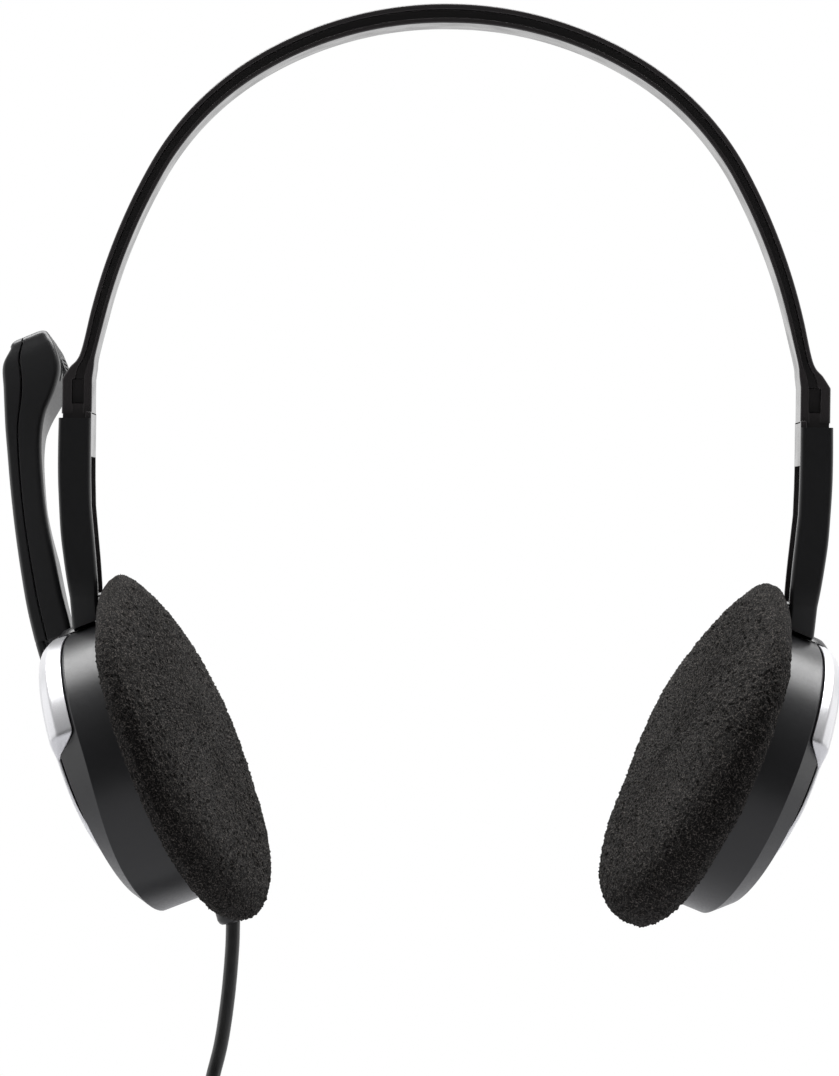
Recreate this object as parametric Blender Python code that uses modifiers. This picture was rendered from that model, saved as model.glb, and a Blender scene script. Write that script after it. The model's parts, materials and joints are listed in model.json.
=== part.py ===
"""A light on-ear computer headset with a folded-up microphone boom.

Every length below is in millimetres and is turned into metres when a mesh is made. +X is to the right, +Z is
up and +Y is the way the wearer faces. The origin is on the underside of the headband's crown, where the head
holds it. A cup has its own frame: local Y points up in the plane of the pad, local Z points outwards from the
head along the cup's axis, and the zero of both is the middle of the ear pad.
"""

import math

import bmesh
import bpy
from mathutils import Matrix, Vector

MM = 0.001
GAP = 0.3
# How far a cutter runs past what it cuts.
FAR = 6.0
ROUND_STEPS = 32
SMALL_STEPS = 14
HOLE_SIDES = 8
DRIVER_STEPS = 24

# Headband: an H section on three arcs, given as radius and angle for one half.
BAND_ARCS = ((64.3, 31.0), (51.2, 30.0), (102.3, 15.5))
BAND_CROWN_THICKNESS = 3.4
BAND_END_THICKNESS = 2.65
BAND_HALF_DEPTH = 5.3
BAND_STEP = 5.6
BAND_GROOVE_DEPTH = 1.6
BAND_OUTER_RIM = 0.28
BAND_INNER_RIM = 0.22
# The band's end block: height, inner face, outer face, the groove's inner and outer wall, and its depth.
BAND_END_STATIONS = (
    (-57.8, 60.55, 63.25, 61.2, 62.5, 1.6),
    (-60.2, 60.85, 65.0, 62.1, 63.9, 1.6),
    (-62.4, 61.1, 66.3, 62.6, 64.6, 1.6),
    (-66.2, 61.1, 66.3, 62.6, 64.6, 1.6),
    (-66.5, 61.1, 66.3, 62.6, 64.6, 0.2),
    (-68.4, 61.1, 66.3, 62.6, 64.6, 0.2),
)
WIRE_DIAMETER = 0.75
WIRE_END = (61.85, -57.6)
POCKET_TOP = -63.2

# Slider tongue and arm. The arm slides along a line that leans inwards as it goes down.
SLIDE_TOP = (63.95, -69.0)
SLIDE_LEAN = math.radians(2.2)
TONGUE_THICKNESS = 2.2
TONGUE_HALF_DEPTH = 4.4
TONGUE_LENGTH = 24.5
TONGUE_ROOT_HALF_DEPTH = 2.8
TONGUE_ROOT_LENGTH = 5.2
TONGUE_ROOT_SHIFT = 0.15
TONGUE_ROOT_RELIEF = 0.1
SLIDER_CLEARANCE = 0.35
ARM_HALF_DEPTH = 7.1
ARM_CORNER = 1.3
ARM_TOP = -69.0
# Height, inner face, outer face and half depth of the arm, from its sleeve to its foot.
ARM_STATIONS = (
    (-69.0, 61.1, 66.7, 7.1),
    (-74.0, 61.1, 66.75, 7.1),
    (-79.0, 61.05, 66.7, 7.1),
    (-84.0, 61.0, 66.45, 7.1),
    (-89.0, 60.65, 66.1, 7.1),
    (-93.5, 60.25, 65.5, 7.1),
    (-97.0, 59.95, 64.95, 7.0),
    (-100.0, 59.55, 64.4, 6.7),
)
FOOT_SECTION = (59.2, 63.9, 6.0)
FOOT_BOTTOM_AT_INNER = -102.95
FOOT_BOTTOM_SLOPE = -0.403
SLEEVE_FLOOR = -94.2
PLATE_THICKNESS = 1.0
PLATE_BOTTOM = -96.6
PLATE_INSET = 0.4
PLATE_BEVEL = 0.5
PLATE_STATIONS = (ARM_TOP, -74.0, -79.0, -84.0, -89.0, -93.5, PLATE_BOTTOM)
PLATE_SLOT_TOP = -76.5
PLATE_SLOT_BOTTOM = -93.0
PLATE_SLOT_HALF_DEPTH = 3.6

# Swivel stud: the stem turns in the foot and the cup rocks on the ball.
BALL = (61.4, -110.1)
BALL_RADIUS = 2.5
BALL_STEPS = 7
STEM_RADIUS = 1.1
STUD_HEAD_RADIUS = 1.5
STUD_HEAD_BOTTOM = -101.7
STUD_HEAD_TOP = -100.6

# Cup: its tilt and swivel as it hangs, and the ball's place in the cup's own frame (up, outwards).
CUP_TILT = math.radians(22.0)
CUP_SWIVEL = math.radians(10.0)
BALL_IN_CUP = (20.6, 9.8)
WALL_RADIUS = 25.3
WALL_THICKNESS = 1.8
WALL_FRONT = 2.3
SEAM = 11.8
BACK = 15.3
BACK_EDGE_RADIUS = 22.3
BACK_THICKNESS = 1.6
CHAMFER_DROP = 0.4
CHAMFER_INSET = 0.8
PIVOT_HOLE_RADIUS = 3.3
BOSS_RADIUS = 2.6
BOSS_HOLE_RADIUS = 1.3
BOSS_PITCH_RADIUS = 19.0
BOSS_FRONT = 2.5
BOSS_BACK = 14.2
BOSS_ANGLES = (math.radians(-100.0), math.radians(30.0), math.radians(150.0))
# Low and high corner of the opening for the ball's stem, and of the block that holds the ball.
STEM_OPENING = ((-2.2, 22.0, 6.2), (2.2, 28.0, 11.2))
SEAT_BLOCK = ((-4.3, 15.2, 5.6), (4.3, 20.4, 13.3))
FLANGE_RADIUS = 27.0
FLANGE_FRONT = 0.2
FLANGE_BACK = 1.7
# Profiles as (radius, height) on the cup's axis.
CUP_SCREW = ((0, 8.0), (1.0, 7.6), (1.0, -0.1), (2.0, -0.1), (1.9, -0.75), (0, -0.75))
BASKET = ((5.6, 4.0), (12.2, 4.0), (12.2, 2.0), (13.6, 2.0), (13.6, 4.3), (11.0, 5.2), (5.6, 5.2))
MAGNET = ((0, 9.0), (7.5, 9.0), (7.5, 5.5), (5.2, 5.5), (5.2, 7.7), (4.0, 7.7), (4.0, 5.5), (0, 5.5))
VOICE_COIL = ((4.8, 3.3), (4.8, 7.2), (4.4, 7.2), (4.4, 3.3))
DIAPHRAGM = ((0, 2.35), (4.6, 2.8), (8.5, 2.4), (11.8, 2.7), (11.8, 3.0), (8.5, 2.7), (4.6, 3.1), (0, 2.65))
SOUND_HOLE_RADIUS = 1.3
# Count, pitch radius and first angle of each ring of sound holes.
SOUND_HOLE_RINGS = ((5, 4.4, 0.11), (8, 9.0, 0.07))
SCREW_HOLE_RADIUS = 1.4
SPIGOT_BACK = 4.4
SPIGOT_THICKNESS = 0.8

# Silver cover, its well and the disc that sits in the well.
COVER_TOP = 16.4
COVER_BOTTOM = 15.6
COVER_PLATEAU_RADIUS = 21.9
COVER_NOTCH_HEIGHT = 8.5
WELL_RADIUS = 14.95
COVER_PROFILE = (
    (WELL_RADIUS, COVER_TOP),
    (23.2, COVER_TOP),
    (24.4, COVER_TOP - 0.5),
    (25.1, COVER_TOP - 1.4),
    (WALL_RADIUS, 14.1),
    (WALL_RADIUS, 12.45),
    (22.55, COVER_BOTTOM),
    (WELL_RADIUS, COVER_BOTTOM),
)
DISC_RADIUS = 14.6
DISC_SKIRT = 0.9
DISC_TOP = 18.3
DISC_BOTTOM = 15.7
DISC_THICKNESS = 0.7
DISC_PROFILE = (
    (0, DISC_TOP),
    (DISC_RADIUS - 1.2, DISC_TOP),
    (DISC_RADIUS - 0.3, DISC_TOP - 0.35),
    (DISC_RADIUS, DISC_TOP - 1.1),
    (DISC_RADIUS, DISC_BOTTOM),
    (DISC_RADIUS - DISC_SKIRT, DISC_BOTTOM),
    (DISC_RADIUS - DISC_SKIRT, DISC_TOP - DISC_THICKNESS),
    (0, DISC_TOP - DISC_THICKNESS),
)

# Ear pad.
PAD_BACK = 2.9
PAD_OUTSIDE = (
    (0, -5.3),
    (26.5, -5.2),
    (29.6, -4.0),
    (31.0, -1.8),
    (31.2, -0.4),
    (30.6, 1.4),
    (29.4, PAD_BACK),
)
PAD_CAVITY_FRONT = -1.1
PAD_CLEARANCE = 0.55

# Microphone boom, in the cup's frame turned by its lean: distance from the pivot, inner face, outer face and
# half width.
BOOM_LEAN = math.radians(12.0)
BOOM_NECK = (
    (14.9, 16.7, 18.3, 4.2),
    (20.0, 16.7, 18.5, 4.3),
    (25.6, 16.7, 18.6, 4.4),
    (26.6, 16.0, 18.4, 4.4),
)
BOOM_STATIONS = (
    (27.2, 11.3, 18.4, 4.4),
    (33.0, 10.9, 17.9, 4.5),
    (40.0, 10.1, 16.9, 4.5),
    (47.0, 9.2, 15.7, 4.5),
    (54.0, 7.7, 14.3, 4.5),
    (60.0, 6.0, 12.9, 4.6),
    (64.5, 3.8, 11.8, 4.8),
    (68.0, 0.8, 10.8, 5.0),
    (71.5, -1.2, 9.8, 5.1),
    (75.5, -1.4, 8.6, 5.0),
    (78.6, -0.3, 7.4, 4.5),
)
BOOM_CORNER = 1.4
BOOM_SHELL = 1.1
BOOM_SPLIT = 0.66
BOOM_SPLIT_GAP = 0.023
NECK_ROOT = (28.4, 15.4, 17.2, 4.3)
WEB_HALF_WIDTH = 4.0
HUB_RADIUS = 13.4
HUB_BOTTOM = 16.1
HUB_TOP = 17.3
NECK_NOTCH_HALF_WIDTH = 4.6
POST_BORE_RADIUS = 1.4
HUB_THICKNESS = 0.7
POST_RADIUS = 3.0
POST_END = 13.1
MIC_RADIUS = 2.2
MIC_LENGTH = 2.6
MIC_BOTTOM = 0.9
MIC_WINDOW_RADIUS = 2.0
MIC_DISTANCE = 72.8
GRILLE_HEIGHTS = (-1.2, -0.3)
GRILLE_SLOT = (0.9, 0.2)
GRILLE_SLOT_OFFSETS = (-0.8, 0.0, 0.8)
# Profiles as (radius, height) on the boom's hinge axis.
PIVOT_WASHER = ((5.5, 12.8), (5.5, 12.2), (1.5, 12.2), (1.5, 12.8))
PIVOT_SCREW = ((0, 16.2), (1.1, 15.9), (1.1, 11.9), (2.6, 11.9), (2.4, 11.1), (0, 11.1))
FRICTION_WASHER = ((9.0, 15.8), (9.0, 15.6), (4.5, 15.6), (4.5, 15.8))

# Cord: where it leaves, how it hangs, its coil and its plug.
CORD_DIAMETER = 2.5
RELIEF_RADIUS = 2.4
RELIEF_SHOULDER = 0.5
RELIEF_ROUTE = ((-40.35, 6.6, -147.9), (-38.7, 7.6, -150.9), (-36.9, 8.0, -153.9), (-36.1, 8.0, -156.7))
CORD_ROUTE = (
    (-36.1, 8.0, -157.0),
    (-36.2, 8.0, -161.5),
    (-36.8, 8.0, -169.5),
    (-37.85, 8.0, -177.5),
    (-39.15, 8.0, -184.0),
    (-39.95, 8.0, -187.4),
    (-40.15, 8.0, -191.7),
)
COIL_CENTRE = (-34.15, 8.0, -212.9)
COIL_MEAN_RADIUS = 15.0
COIL_BUNDLE_RADIUS = 6.4
COIL_STEPS = 28
TAIL_ROUTE = ((-40.15, 8.0, -234.1), (-40.25, 8.0, -240.0), (-40.45, 8.0, -246.0), (-40.45, 8.0, -250.6))
PLUG_TOP = (-40.45, 8.0, -250.9)
# Profiles as (radius, height), each downwards from its own top.
PLUG_BODY = ((0, 0), (1.6, 0), (2.2, -4.0), (3.2, -5.5), (4.0, -7.5), (4.0, -21.0), (0, -21.0))
PLUG_PIN = (
    (0, 0),
    (2.6, 0),
    (2.6, -1.0),
    (1.75, -1.0),
    (1.75, -11.2),
    (1.2, -12.2),
    (1.7, -13.0),
    (0.5, -14.0),
    (0, -14.0),
)
TIE_HALF_WIDTH = 3.0
TIE_THICKNESS = 0.9

COLOURS = {
    "black_shell": ((0.022, 0.022, 0.024, 1.0), 0.38, 0.0),
    "silver_paint": ((0.80, 0.80, 0.82, 1.0), 0.28, 0.6),
    "foam": ((0.014, 0.014, 0.014, 1.0), 0.98, 0.0),
    "steel": ((0.62, 0.62, 0.63, 1.0), 0.30, 1.0),
    "rubber": ((0.03, 0.03, 0.03, 1.0), 0.55, 0.0),
    "copper": ((0.75, 0.36, 0.18, 1.0), 0.35, 1.0),
    "gold": ((0.83, 0.62, 0.26, 1.0), 0.25, 1.0),
    "film": ((0.75, 0.72, 0.60, 1.0), 0.30, 0.0),
}


def start_scene():
    for obj in list(bpy.data.objects):
        bpy.data.objects.remove(obj)
    made = {}
    for name in ("on_ear_headset", "cutters"):
        made[name] = bpy.data.collections.new(name)
        bpy.context.scene.collection.children.link(made[name])
    return made["on_ear_headset"], made["cutters"]


PARTS, CUTTERS = start_scene()


def material_for(name, slot):
    colour, roughness, metallic = COLOURS[slot]
    material = bpy.data.materials.new(name)
    material.use_nodes = True
    shader = material.node_tree.nodes["Principled BSDF"]
    shader.inputs["Base Color"].default_value = colour
    shader.inputs["Roughness"].default_value = roughness
    shader.inputs["Metallic"].default_value = metallic
    return material


def add_object(name, mesh, slot, parent=None, location=(0, 0, 0), turn=None):
    """A part, or with no slot a cutter, placed in its parent's frame by a location in millimetres."""
    obj = bpy.data.objects.new(name, mesh)
    (PARTS if slot else CUTTERS).objects.link(obj)
    if slot:
        mesh.materials.append(material_for(name, slot))
    else:
        obj.hide_render = True
        obj.display_type = "WIRE"
    obj.parent = parent
    obj.matrix_local = Matrix.Translation(Vector(location) * MM) @ (turn or Matrix())
    return obj


def empty(name, parent=None, location=(0, 0, 0), turn=None):
    obj = bpy.data.objects.new(name, None)
    PARTS.objects.link(obj)
    obj.parent = parent
    obj.matrix_local = Matrix.Translation(Vector(location) * MM) @ (turn or Matrix())
    return obj


def finished(mesh):
    """The mesh with its faces outwards and its round stretches shaded smooth."""
    bm = bmesh.new()
    bm.from_mesh(mesh)
    bmesh.ops.recalc_face_normals(bm, faces=bm.faces)
    bm.to_mesh(mesh)
    bm.free()
    mesh.shade_smooth()
    mesh.set_sharp_from_angle(angle=math.radians(35))
    return mesh


def turned(profile, steps=ROUND_STEPS, ring=True):
    """A Screw of a profile of (radius, height). A ring's profile is closed; any other ends on the axis."""
    mesh = bpy.data.meshes.new("turned")
    count = len(profile)
    edges = [(i, i + 1) for i in range(count - 1)]
    if ring:
        edges.append((count - 1, 0))
    mesh.from_pydata([(r * MM, 0, h * MM) for r, h in profile], edges, [])
    obj = bpy.data.objects.new("turned", mesh)
    CUTTERS.objects.link(obj)
    screw = obj.modifiers.new("turn", "SCREW")
    screw.steps = screw.render_steps = steps
    screw.use_merge_vertices = True
    screw.merge_threshold = 0.00001
    graph = bpy.context.evaluated_depsgraph_get()
    made = bpy.data.meshes.new_from_object(obj.evaluated_get(graph))
    bpy.data.objects.remove(obj)
    return finished(made)


def loft(rings):
    """A closed skin through rings of the same number of points, with a flat cap at each end."""
    mesh = bpy.data.meshes.new("loft")
    count = len(rings[0])
    points = [Vector(p) * MM for ring in rings for p in ring]
    faces = []
    for i in range(len(rings) - 1):
        for j in range(count):
            k = (j + 1) % count
            faces.append((i * count + j, i * count + k, (i + 1) * count + k, (i + 1) * count + j))
    faces.append(tuple(range(count)))
    faces.append(tuple((len(rings) - 1) * count + j for j in range(count)))
    mesh.from_pydata(points, [], faces)
    return finished(mesh)


def rod(radius, low, high, sides=SMALL_STEPS):
    """A plain cylinder on the local Z axis."""
    return turned([(0, high), (radius, high), (radius, low), (0, low)], sides, ring=False)


def block(low, high):
    """A box between two corners."""
    mesh = bpy.data.meshes.new("block")
    bm = bmesh.new()
    bmesh.ops.create_cube(bm, size=1.0)
    size = Vector(high) - Vector(low)
    middle = (Vector(high) + Vector(low)) / 2
    bmesh.ops.scale(bm, vec=size * MM, verts=bm.verts)
    bmesh.ops.translate(bm, vec=middle * MM, verts=bm.verts)
    bm.to_mesh(mesh)
    bm.free()
    return mesh


def ball(radius, centre, steps=SMALL_STEPS):
    mesh = bpy.data.meshes.new("ball")
    bm = bmesh.new()
    bmesh.ops.create_uvsphere(bm, u_segments=steps, v_segments=steps // 2, radius=radius * MM)
    bmesh.ops.translate(bm, vec=Vector(centre) * MM, verts=bm.verts)
    bm.to_mesh(mesh)
    bm.free()
    return mesh


def cluster(mesh, places):
    """Copies of a mesh at places in millimetres, as one mesh."""
    bm = bmesh.new()
    for x, y in places:
        before = len(bm.verts)
        bm.from_mesh(mesh)
        bm.verts.ensure_lookup_table()
        bmesh.ops.translate(bm, vec=Vector((x, y, 0)) * MM, verts=bm.verts[before:])
    made = bpy.data.meshes.new("cluster")
    bm.to_mesh(made)
    bm.free()
    return made


def boolean(obj, other, operation="DIFFERENCE"):
    modifier = obj.modifiers.new(operation.lower(), "BOOLEAN")
    modifier.operation = operation
    modifier.object = other


def rounded_loop(x0, x1, y0, y1, corner, height, steps=2):
    """A rectangle with round corners at one height, as points."""
    loop = []
    for cx, cy, start in (
        (x1 - corner, y1 - corner, 0),
        (x0 + corner, y1 - corner, 90),
        (x0 + corner, y0 + corner, 180),
        (x1 - corner, y0 + corner, 270),
    ):
        for i in range(steps + 1):
            angle = math.radians(start + 90 * i / steps)
            loop.append((cx + corner * math.cos(angle), cy + corner * math.sin(angle), height))
    return loop


def smooth_line(route, count):
    """Points at even parameter steps on a Catmull-Rom curve through the route's points."""
    points = [Vector(p) for p in route]
    padded = [points[0] * 2 - points[1], *points, points[-1] * 2 - points[-2]]
    line = []
    for i in range(count):
        place = i * (len(points) - 1) / (count - 1)
        k = min(int(place), len(points) - 2)
        t = place - k
        a, b, c, d = padded[k : k + 4]
        line.append(
            0.5 * (2 * b + (c - a) * t + (2 * a - 5 * b + 4 * c - d) * t**2 + (3 * b - a - 3 * c + d) * t**3)
        )
    return line


def tube(name, line, diameter, slot, parent, sides_resolution=2):
    """A round tube on a polyline, made as a curve with a bevel and filled caps."""
    curve = bpy.data.curves.new(name, "CURVE")
    curve.dimensions = "3D"
    curve.bevel_depth = diameter / 2 * MM
    curve.bevel_resolution = sides_resolution
    curve.use_fill_caps = True
    spline = curve.splines.new("POLY")
    spline.points.add(len(line) - 1)
    for point, place in zip(spline.points, line):
        point.co = (*(Vector(place) * MM), 1)
    return add_object(name, curve, slot, parent)


# Headband


def band_line():
    """(x, z, heading, thickness) along the outer face of the right half, from the crown."""
    stations = [(0.0, BAND_CROWN_THICKNESS, 0.0, BAND_CROWN_THICKNESS)]
    x, z, heading = 0.0, BAND_CROWN_THICKNESS, 0.0
    whole = math.radians(sum(angle for _, angle in BAND_ARCS))
    for radius, angle in BAND_ARCS:
        steps = max(3, round(angle / BAND_STEP))
        for _ in range(steps):
            turn = math.radians(angle) / steps
            x += 2 * radius * math.sin(turn / 2) * math.cos(heading + turn / 2)
            z -= 2 * radius * math.sin(turn / 2) * math.sin(heading + turn / 2)
            heading += turn
            thickness = BAND_CROWN_THICKNESS + (BAND_END_THICKNESS - BAND_CROWN_THICKNESS) * heading / whole
            stations.append((x, z, heading, thickness))
    return stations


def h_section(depths, half_depth, groove):
    """(depth, y) round an H section. depths: the outer face, the groove's two walls, the inner face."""
    outer, wall_out, wall_in, inner = depths
    floor = half_depth - groove
    return [
        (inner, -half_depth),
        (wall_in, -half_depth),
        (wall_in, -floor),
        (wall_out, -floor),
        (wall_out, -half_depth),
        (outer, -half_depth),
        (outer, half_depth),
        (wall_out, half_depth),
        (wall_out, floor),
        (wall_in, floor),
        (wall_in, half_depth),
        (inner, half_depth),
    ]


def band_ring(x, z, heading, thickness):
    depths = (0.0, BAND_OUTER_RIM * thickness, (1 - BAND_INNER_RIM) * thickness, thickness)
    section = h_section(depths, BAND_HALF_DEPTH, BAND_GROOVE_DEPTH)
    return [(x - d * math.sin(heading), y, z - d * math.cos(heading)) for d, y in section]


def end_ring(side, station):
    z, inner, outer, groove_in, groove_out, groove = station
    section = h_section((outer, groove_out, groove_in, inner), BAND_HALF_DEPTH, groove)
    return [(side * x, y, z) for x, y in section]


def headband():
    half = band_line()
    rings = [end_ring(-1, station) for station in reversed(BAND_END_STATIONS)]
    rings += [band_ring(-x, z, -heading, thickness) for x, z, heading, thickness in reversed(half)]
    rings += [band_ring(*station) for station in half[1:]]
    rings += [end_ring(1, station) for station in BAND_END_STATIONS]
    band = add_object("headband", loft(rings), "black_shell")
    for side in (-1, 1):
        reach = TONGUE_THICKNESS / 2 + GAP
        depth = TONGUE_ROOT_HALF_DEPTH + GAP
        x = side * (SLIDE_TOP[0] + TONGUE_ROOT_SHIFT)
        pocket = block((x - reach, -depth, SLIDE_TOP[1] - FAR), (x + reach, depth, POCKET_TOP))
        boolean(band, add_object("tongue_pocket", pocket, None))
    return band


def crossover_wire(band):
    """The second earpiece's wire, which lies in the groove along the band's front edge."""
    half = band_line()
    y = BAND_HALF_DEPTH - BAND_GROOVE_DEPTH + GAP + WIRE_DIAMETER / 2
    right = []
    for x, z, heading, thickness in half:
        depth = thickness * (BAND_OUTER_RIM + 1 - BAND_INNER_RIM) / 2
        right.append((x - depth * math.sin(heading), y, z - depth * math.cos(heading)))
    right.append((WIRE_END[0], y, WIRE_END[1]))
    route = [(-x, y, z) for x, y, z in reversed(right[1:])] + right
    tube("crossover_wire", route, WIRE_DIAMETER, "rubber", band, sides_resolution=1)


# Arms


def slide_x(z):
    """The slide line's distance from the middle at a height."""
    return SLIDE_TOP[0] + (z - SLIDE_TOP[1]) * math.tan(SLIDE_LEAN)


def flat_ring(near, far, half_depth, z):
    """The four corners of a level rectangle."""
    return [(near, -half_depth, z), (far, -half_depth, z), (far, half_depth, z), (near, half_depth, z)]


def leaning_bar(side, top, bottom, half_thickness, half_depth):
    rings = []
    for z in (top, bottom):
        ring = flat_ring(slide_x(z) - half_thickness, slide_x(z) + half_thickness, half_depth, z)
        rings.append([(side * x, y, z) for x, y, z in ring])
    return loft(rings)


def slider_tongue(name, side, band):
    bottom = SLIDE_TOP[1] - TONGUE_LENGTH
    shoulder = SLIDE_TOP[1] + GAP
    mesh = leaning_bar(side, shoulder, bottom, TONGUE_THICKNESS / 2, TONGUE_HALF_DEPTH)
    tongue = add_object(name + "_slider_tongue", mesh, "steel", band)
    half_thickness = TONGUE_THICKNESS / 2 - TONGUE_ROOT_RELIEF
    top = shoulder + TONGUE_ROOT_LENGTH
    root = leaning_bar(side, top, shoulder - 1, half_thickness, TONGUE_ROOT_HALF_DEPTH)
    boolean(tongue, add_object("tongue_root", root, None, band), "UNION")


def arm_origin(side):
    return Vector((side * SLIDE_TOP[0], 0, SLIDE_TOP[1]))


def arm_solid(side, rings):
    """A loft given in the whole object's frame, moved into the arm's frame."""
    origin = arm_origin(side)
    return loft([[Vector((side * x, y, z)) - origin for x, y, z in ring] for ring in rings])


def foot_ring():
    inner, outer, half_depth = FOOT_SECTION
    ring = rounded_loop(inner, outer, -half_depth, half_depth, ARM_CORNER, 0)
    return [(x, y, FOOT_BOTTOM_AT_INNER + FOOT_BOTTOM_SLOPE * (x - inner)) for x, y, _ in ring]


def inner_face(z):
    """The arm's inner face at a height, between the stations."""
    for (z0, x0, _, _), (z1, x1, _, _) in zip(ARM_STATIONS, ARM_STATIONS[1:]):
        if z >= z1:
            return x0 + (x1 - x0) * (z - z0) / (z1 - z0)
    return ARM_STATIONS[-1][1]


def arm_shell(name, side, frame):
    rings = []
    for z, inner, outer, depth in ARM_STATIONS:
        rings.append(rounded_loop(inner, outer, -depth, depth, ARM_CORNER, z))
    rings.append(foot_ring())
    shell = add_object(name + "_arm_shell", arm_solid(side, rings), "black_shell", frame)
    recess = []
    for z in (ARM_TOP + FAR, *PLATE_STATIONS[2:], PLATE_BOTTOM - GAP):
        face = inner_face(max(min(z, ARM_TOP), PLATE_BOTTOM))
        recess.append(flat_ring(face - FAR, face + PLATE_THICKNESS + GAP, ARM_HALF_DEPTH + FAR, z))
    boolean(shell, add_object("plate_recess", arm_solid(side, recess), None, frame))
    half_thickness = TONGUE_THICKNESS / 2 + SLIDER_CLEARANCE
    half_depth = TONGUE_HALF_DEPTH + SLIDER_CLEARANCE
    sleeve = []
    for z in (ARM_TOP + FAR, SLEEVE_FLOOR):
        sleeve.append(flat_ring(slide_x(z) - FAR, slide_x(z) + half_thickness, half_depth, z))
    boolean(shell, add_object("sleeve_cavity", arm_solid(side, sleeve), None, frame))
    swivel = Vector((side * BALL[0], 0, 0)) - arm_origin(side)
    well = rod(STUD_HEAD_RADIUS + GAP, SLEEVE_FLOOR + 1, STUD_HEAD_BOTTOM - GAP)
    boolean(shell, add_object("stud_well", well, None, frame, swivel))
    bore = rod(STEM_RADIUS + GAP, SLEEVE_FLOOR, BALL[1])
    boolean(shell, add_object("stem_bore", bore, None, frame, swivel))


def arm_inner_plate(name, side, frame):
    depth = ARM_HALF_DEPTH - PLATE_INSET
    rings = []
    for z in PLATE_STATIONS:
        near = inner_face(z)
        far = near + PLATE_THICKNESS
        lip = depth - PLATE_BEVEL
        rings.append([(near, -lip, z), (far, -depth, z), (far, depth, z), (near, lip, z)])
    plate = add_object(name + "_arm_inner_plate", arm_solid(side, rings), "black_shell", frame)
    low = (-FAR, -PLATE_SLOT_HALF_DEPTH, PLATE_SLOT_BOTTOM - ARM_TOP)
    high = (FAR, PLATE_SLOT_HALF_DEPTH, PLATE_SLOT_TOP - ARM_TOP)
    boolean(plate, add_object("plate_slot", block(low, high), None, frame))


def swivel_stud(name, frame):
    """A turned pin: a head in the arm's foot, a stem through its floor and a ball in the cup."""
    neck = math.asin(STEM_RADIUS / BALL_RADIUS)
    head_top = STUD_HEAD_TOP - BALL[1]
    head_bottom = STUD_HEAD_BOTTOM - BALL[1]
    profile = [
        (0, head_top),
        (STUD_HEAD_RADIUS, head_top),
        (STUD_HEAD_RADIUS, head_bottom),
        (STEM_RADIUS, head_bottom),
    ]
    for i in range(BALL_STEPS):
        angle = neck + (math.pi - neck) * i / (BALL_STEPS - 1)
        profile.append((BALL_RADIUS * math.sin(angle), BALL_RADIUS * math.cos(angle)))
    add_object(name + "_swivel_stud", turned(profile, SMALL_STEPS, ring=False), "steel", frame)


# Cups


def cup_turn(side):
    """Local Z points outwards along the cup's axis and local Y up in the plane of the pad."""
    level = Vector((side * math.cos(CUP_SWIVEL), math.sin(CUP_SWIVEL), 0))
    outwards = level * math.cos(CUP_TILT) - Vector((0, 0, math.sin(CUP_TILT)))
    up = level * math.sin(CUP_TILT) + Vector((0, 0, math.cos(CUP_TILT)))
    across = up.cross(outwards)
    return Matrix((across, up, outwards)).transposed().to_4x4()


CUP_OFFSET = (0, -BALL_IN_CUP[0], -BALL_IN_CUP[1])


def boss_places():
    return [(BOSS_PITCH_RADIUS * math.cos(a), BOSS_PITCH_RADIUS * math.sin(a)) for a in BOSS_ANGLES]


def cup_housing(name, frame):
    """The cup's shell: a wall, a chamfer and a back, with screw bosses and an opening for the ball's stem."""
    inside = WALL_RADIUS - WALL_THICKNESS
    profile = [
        (PIVOT_HOLE_RADIUS, BACK),
        (BACK_EDGE_RADIUS, BACK),
        (WALL_RADIUS, SEAM),
        (WALL_RADIUS, WALL_FRONT),
        (inside, WALL_FRONT),
        (inside, SEAM - CHAMFER_DROP),
        (BACK_EDGE_RADIUS - CHAMFER_INSET, BACK - BACK_THICKNESS),
        (PIVOT_HOLE_RADIUS, BACK - BACK_THICKNESS),
    ]
    housing = add_object(name + "_cup_housing", turned(profile), "black_shell", frame, CUP_OFFSET)
    boss = [
        (BOSS_RADIUS, BOSS_BACK),
        (BOSS_RADIUS, BOSS_FRONT),
        (BOSS_HOLE_RADIUS, BOSS_FRONT),
        (BOSS_HOLE_RADIUS, BOSS_BACK),
    ]
    bosses = cluster(turned(boss, SMALL_STEPS), boss_places())
    boolean(housing, add_object("bosses", bosses, None, frame, CUP_OFFSET), "UNION")
    opening = block(*STEM_OPENING)
    boolean(housing, add_object("stem_opening", opening, None, frame, CUP_OFFSET))
    return housing


def cup_cover(name, frame):
    """The painted cover: it wraps the chamfer in the upper part and is a flat plateau below the notches."""
    cover = add_object(name + "_cup_cover", turned(COVER_PROFILE), "silver_paint", frame, CUP_OFFSET)
    low, high = COVER_BOTTOM - FAR, COVER_TOP + FAR
    reach = WALL_RADIUS + FAR
    rim = turned([(COVER_PLATEAU_RADIUS, high), (reach, high), (reach, low), (COVER_PLATEAU_RADIUS, low)])
    cutter = add_object("cover_lower_rim", rim, None, frame, CUP_OFFSET)
    upper_half = block((-reach - 1, COVER_NOTCH_HEIGHT, low - 1), (reach + 1, reach + 1, high + 1))
    boolean(cutter, add_object("above_notch", upper_half, None, frame, CUP_OFFSET))
    boolean(cover, cutter)


def cover_disc(name, piece, frame, offset):
    """The round raised disc in the cover's well: a shallow cap with a skirt."""
    return add_object(name + piece, turned(DISC_PROFILE, ring=False), "silver_paint", frame, offset)


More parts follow.
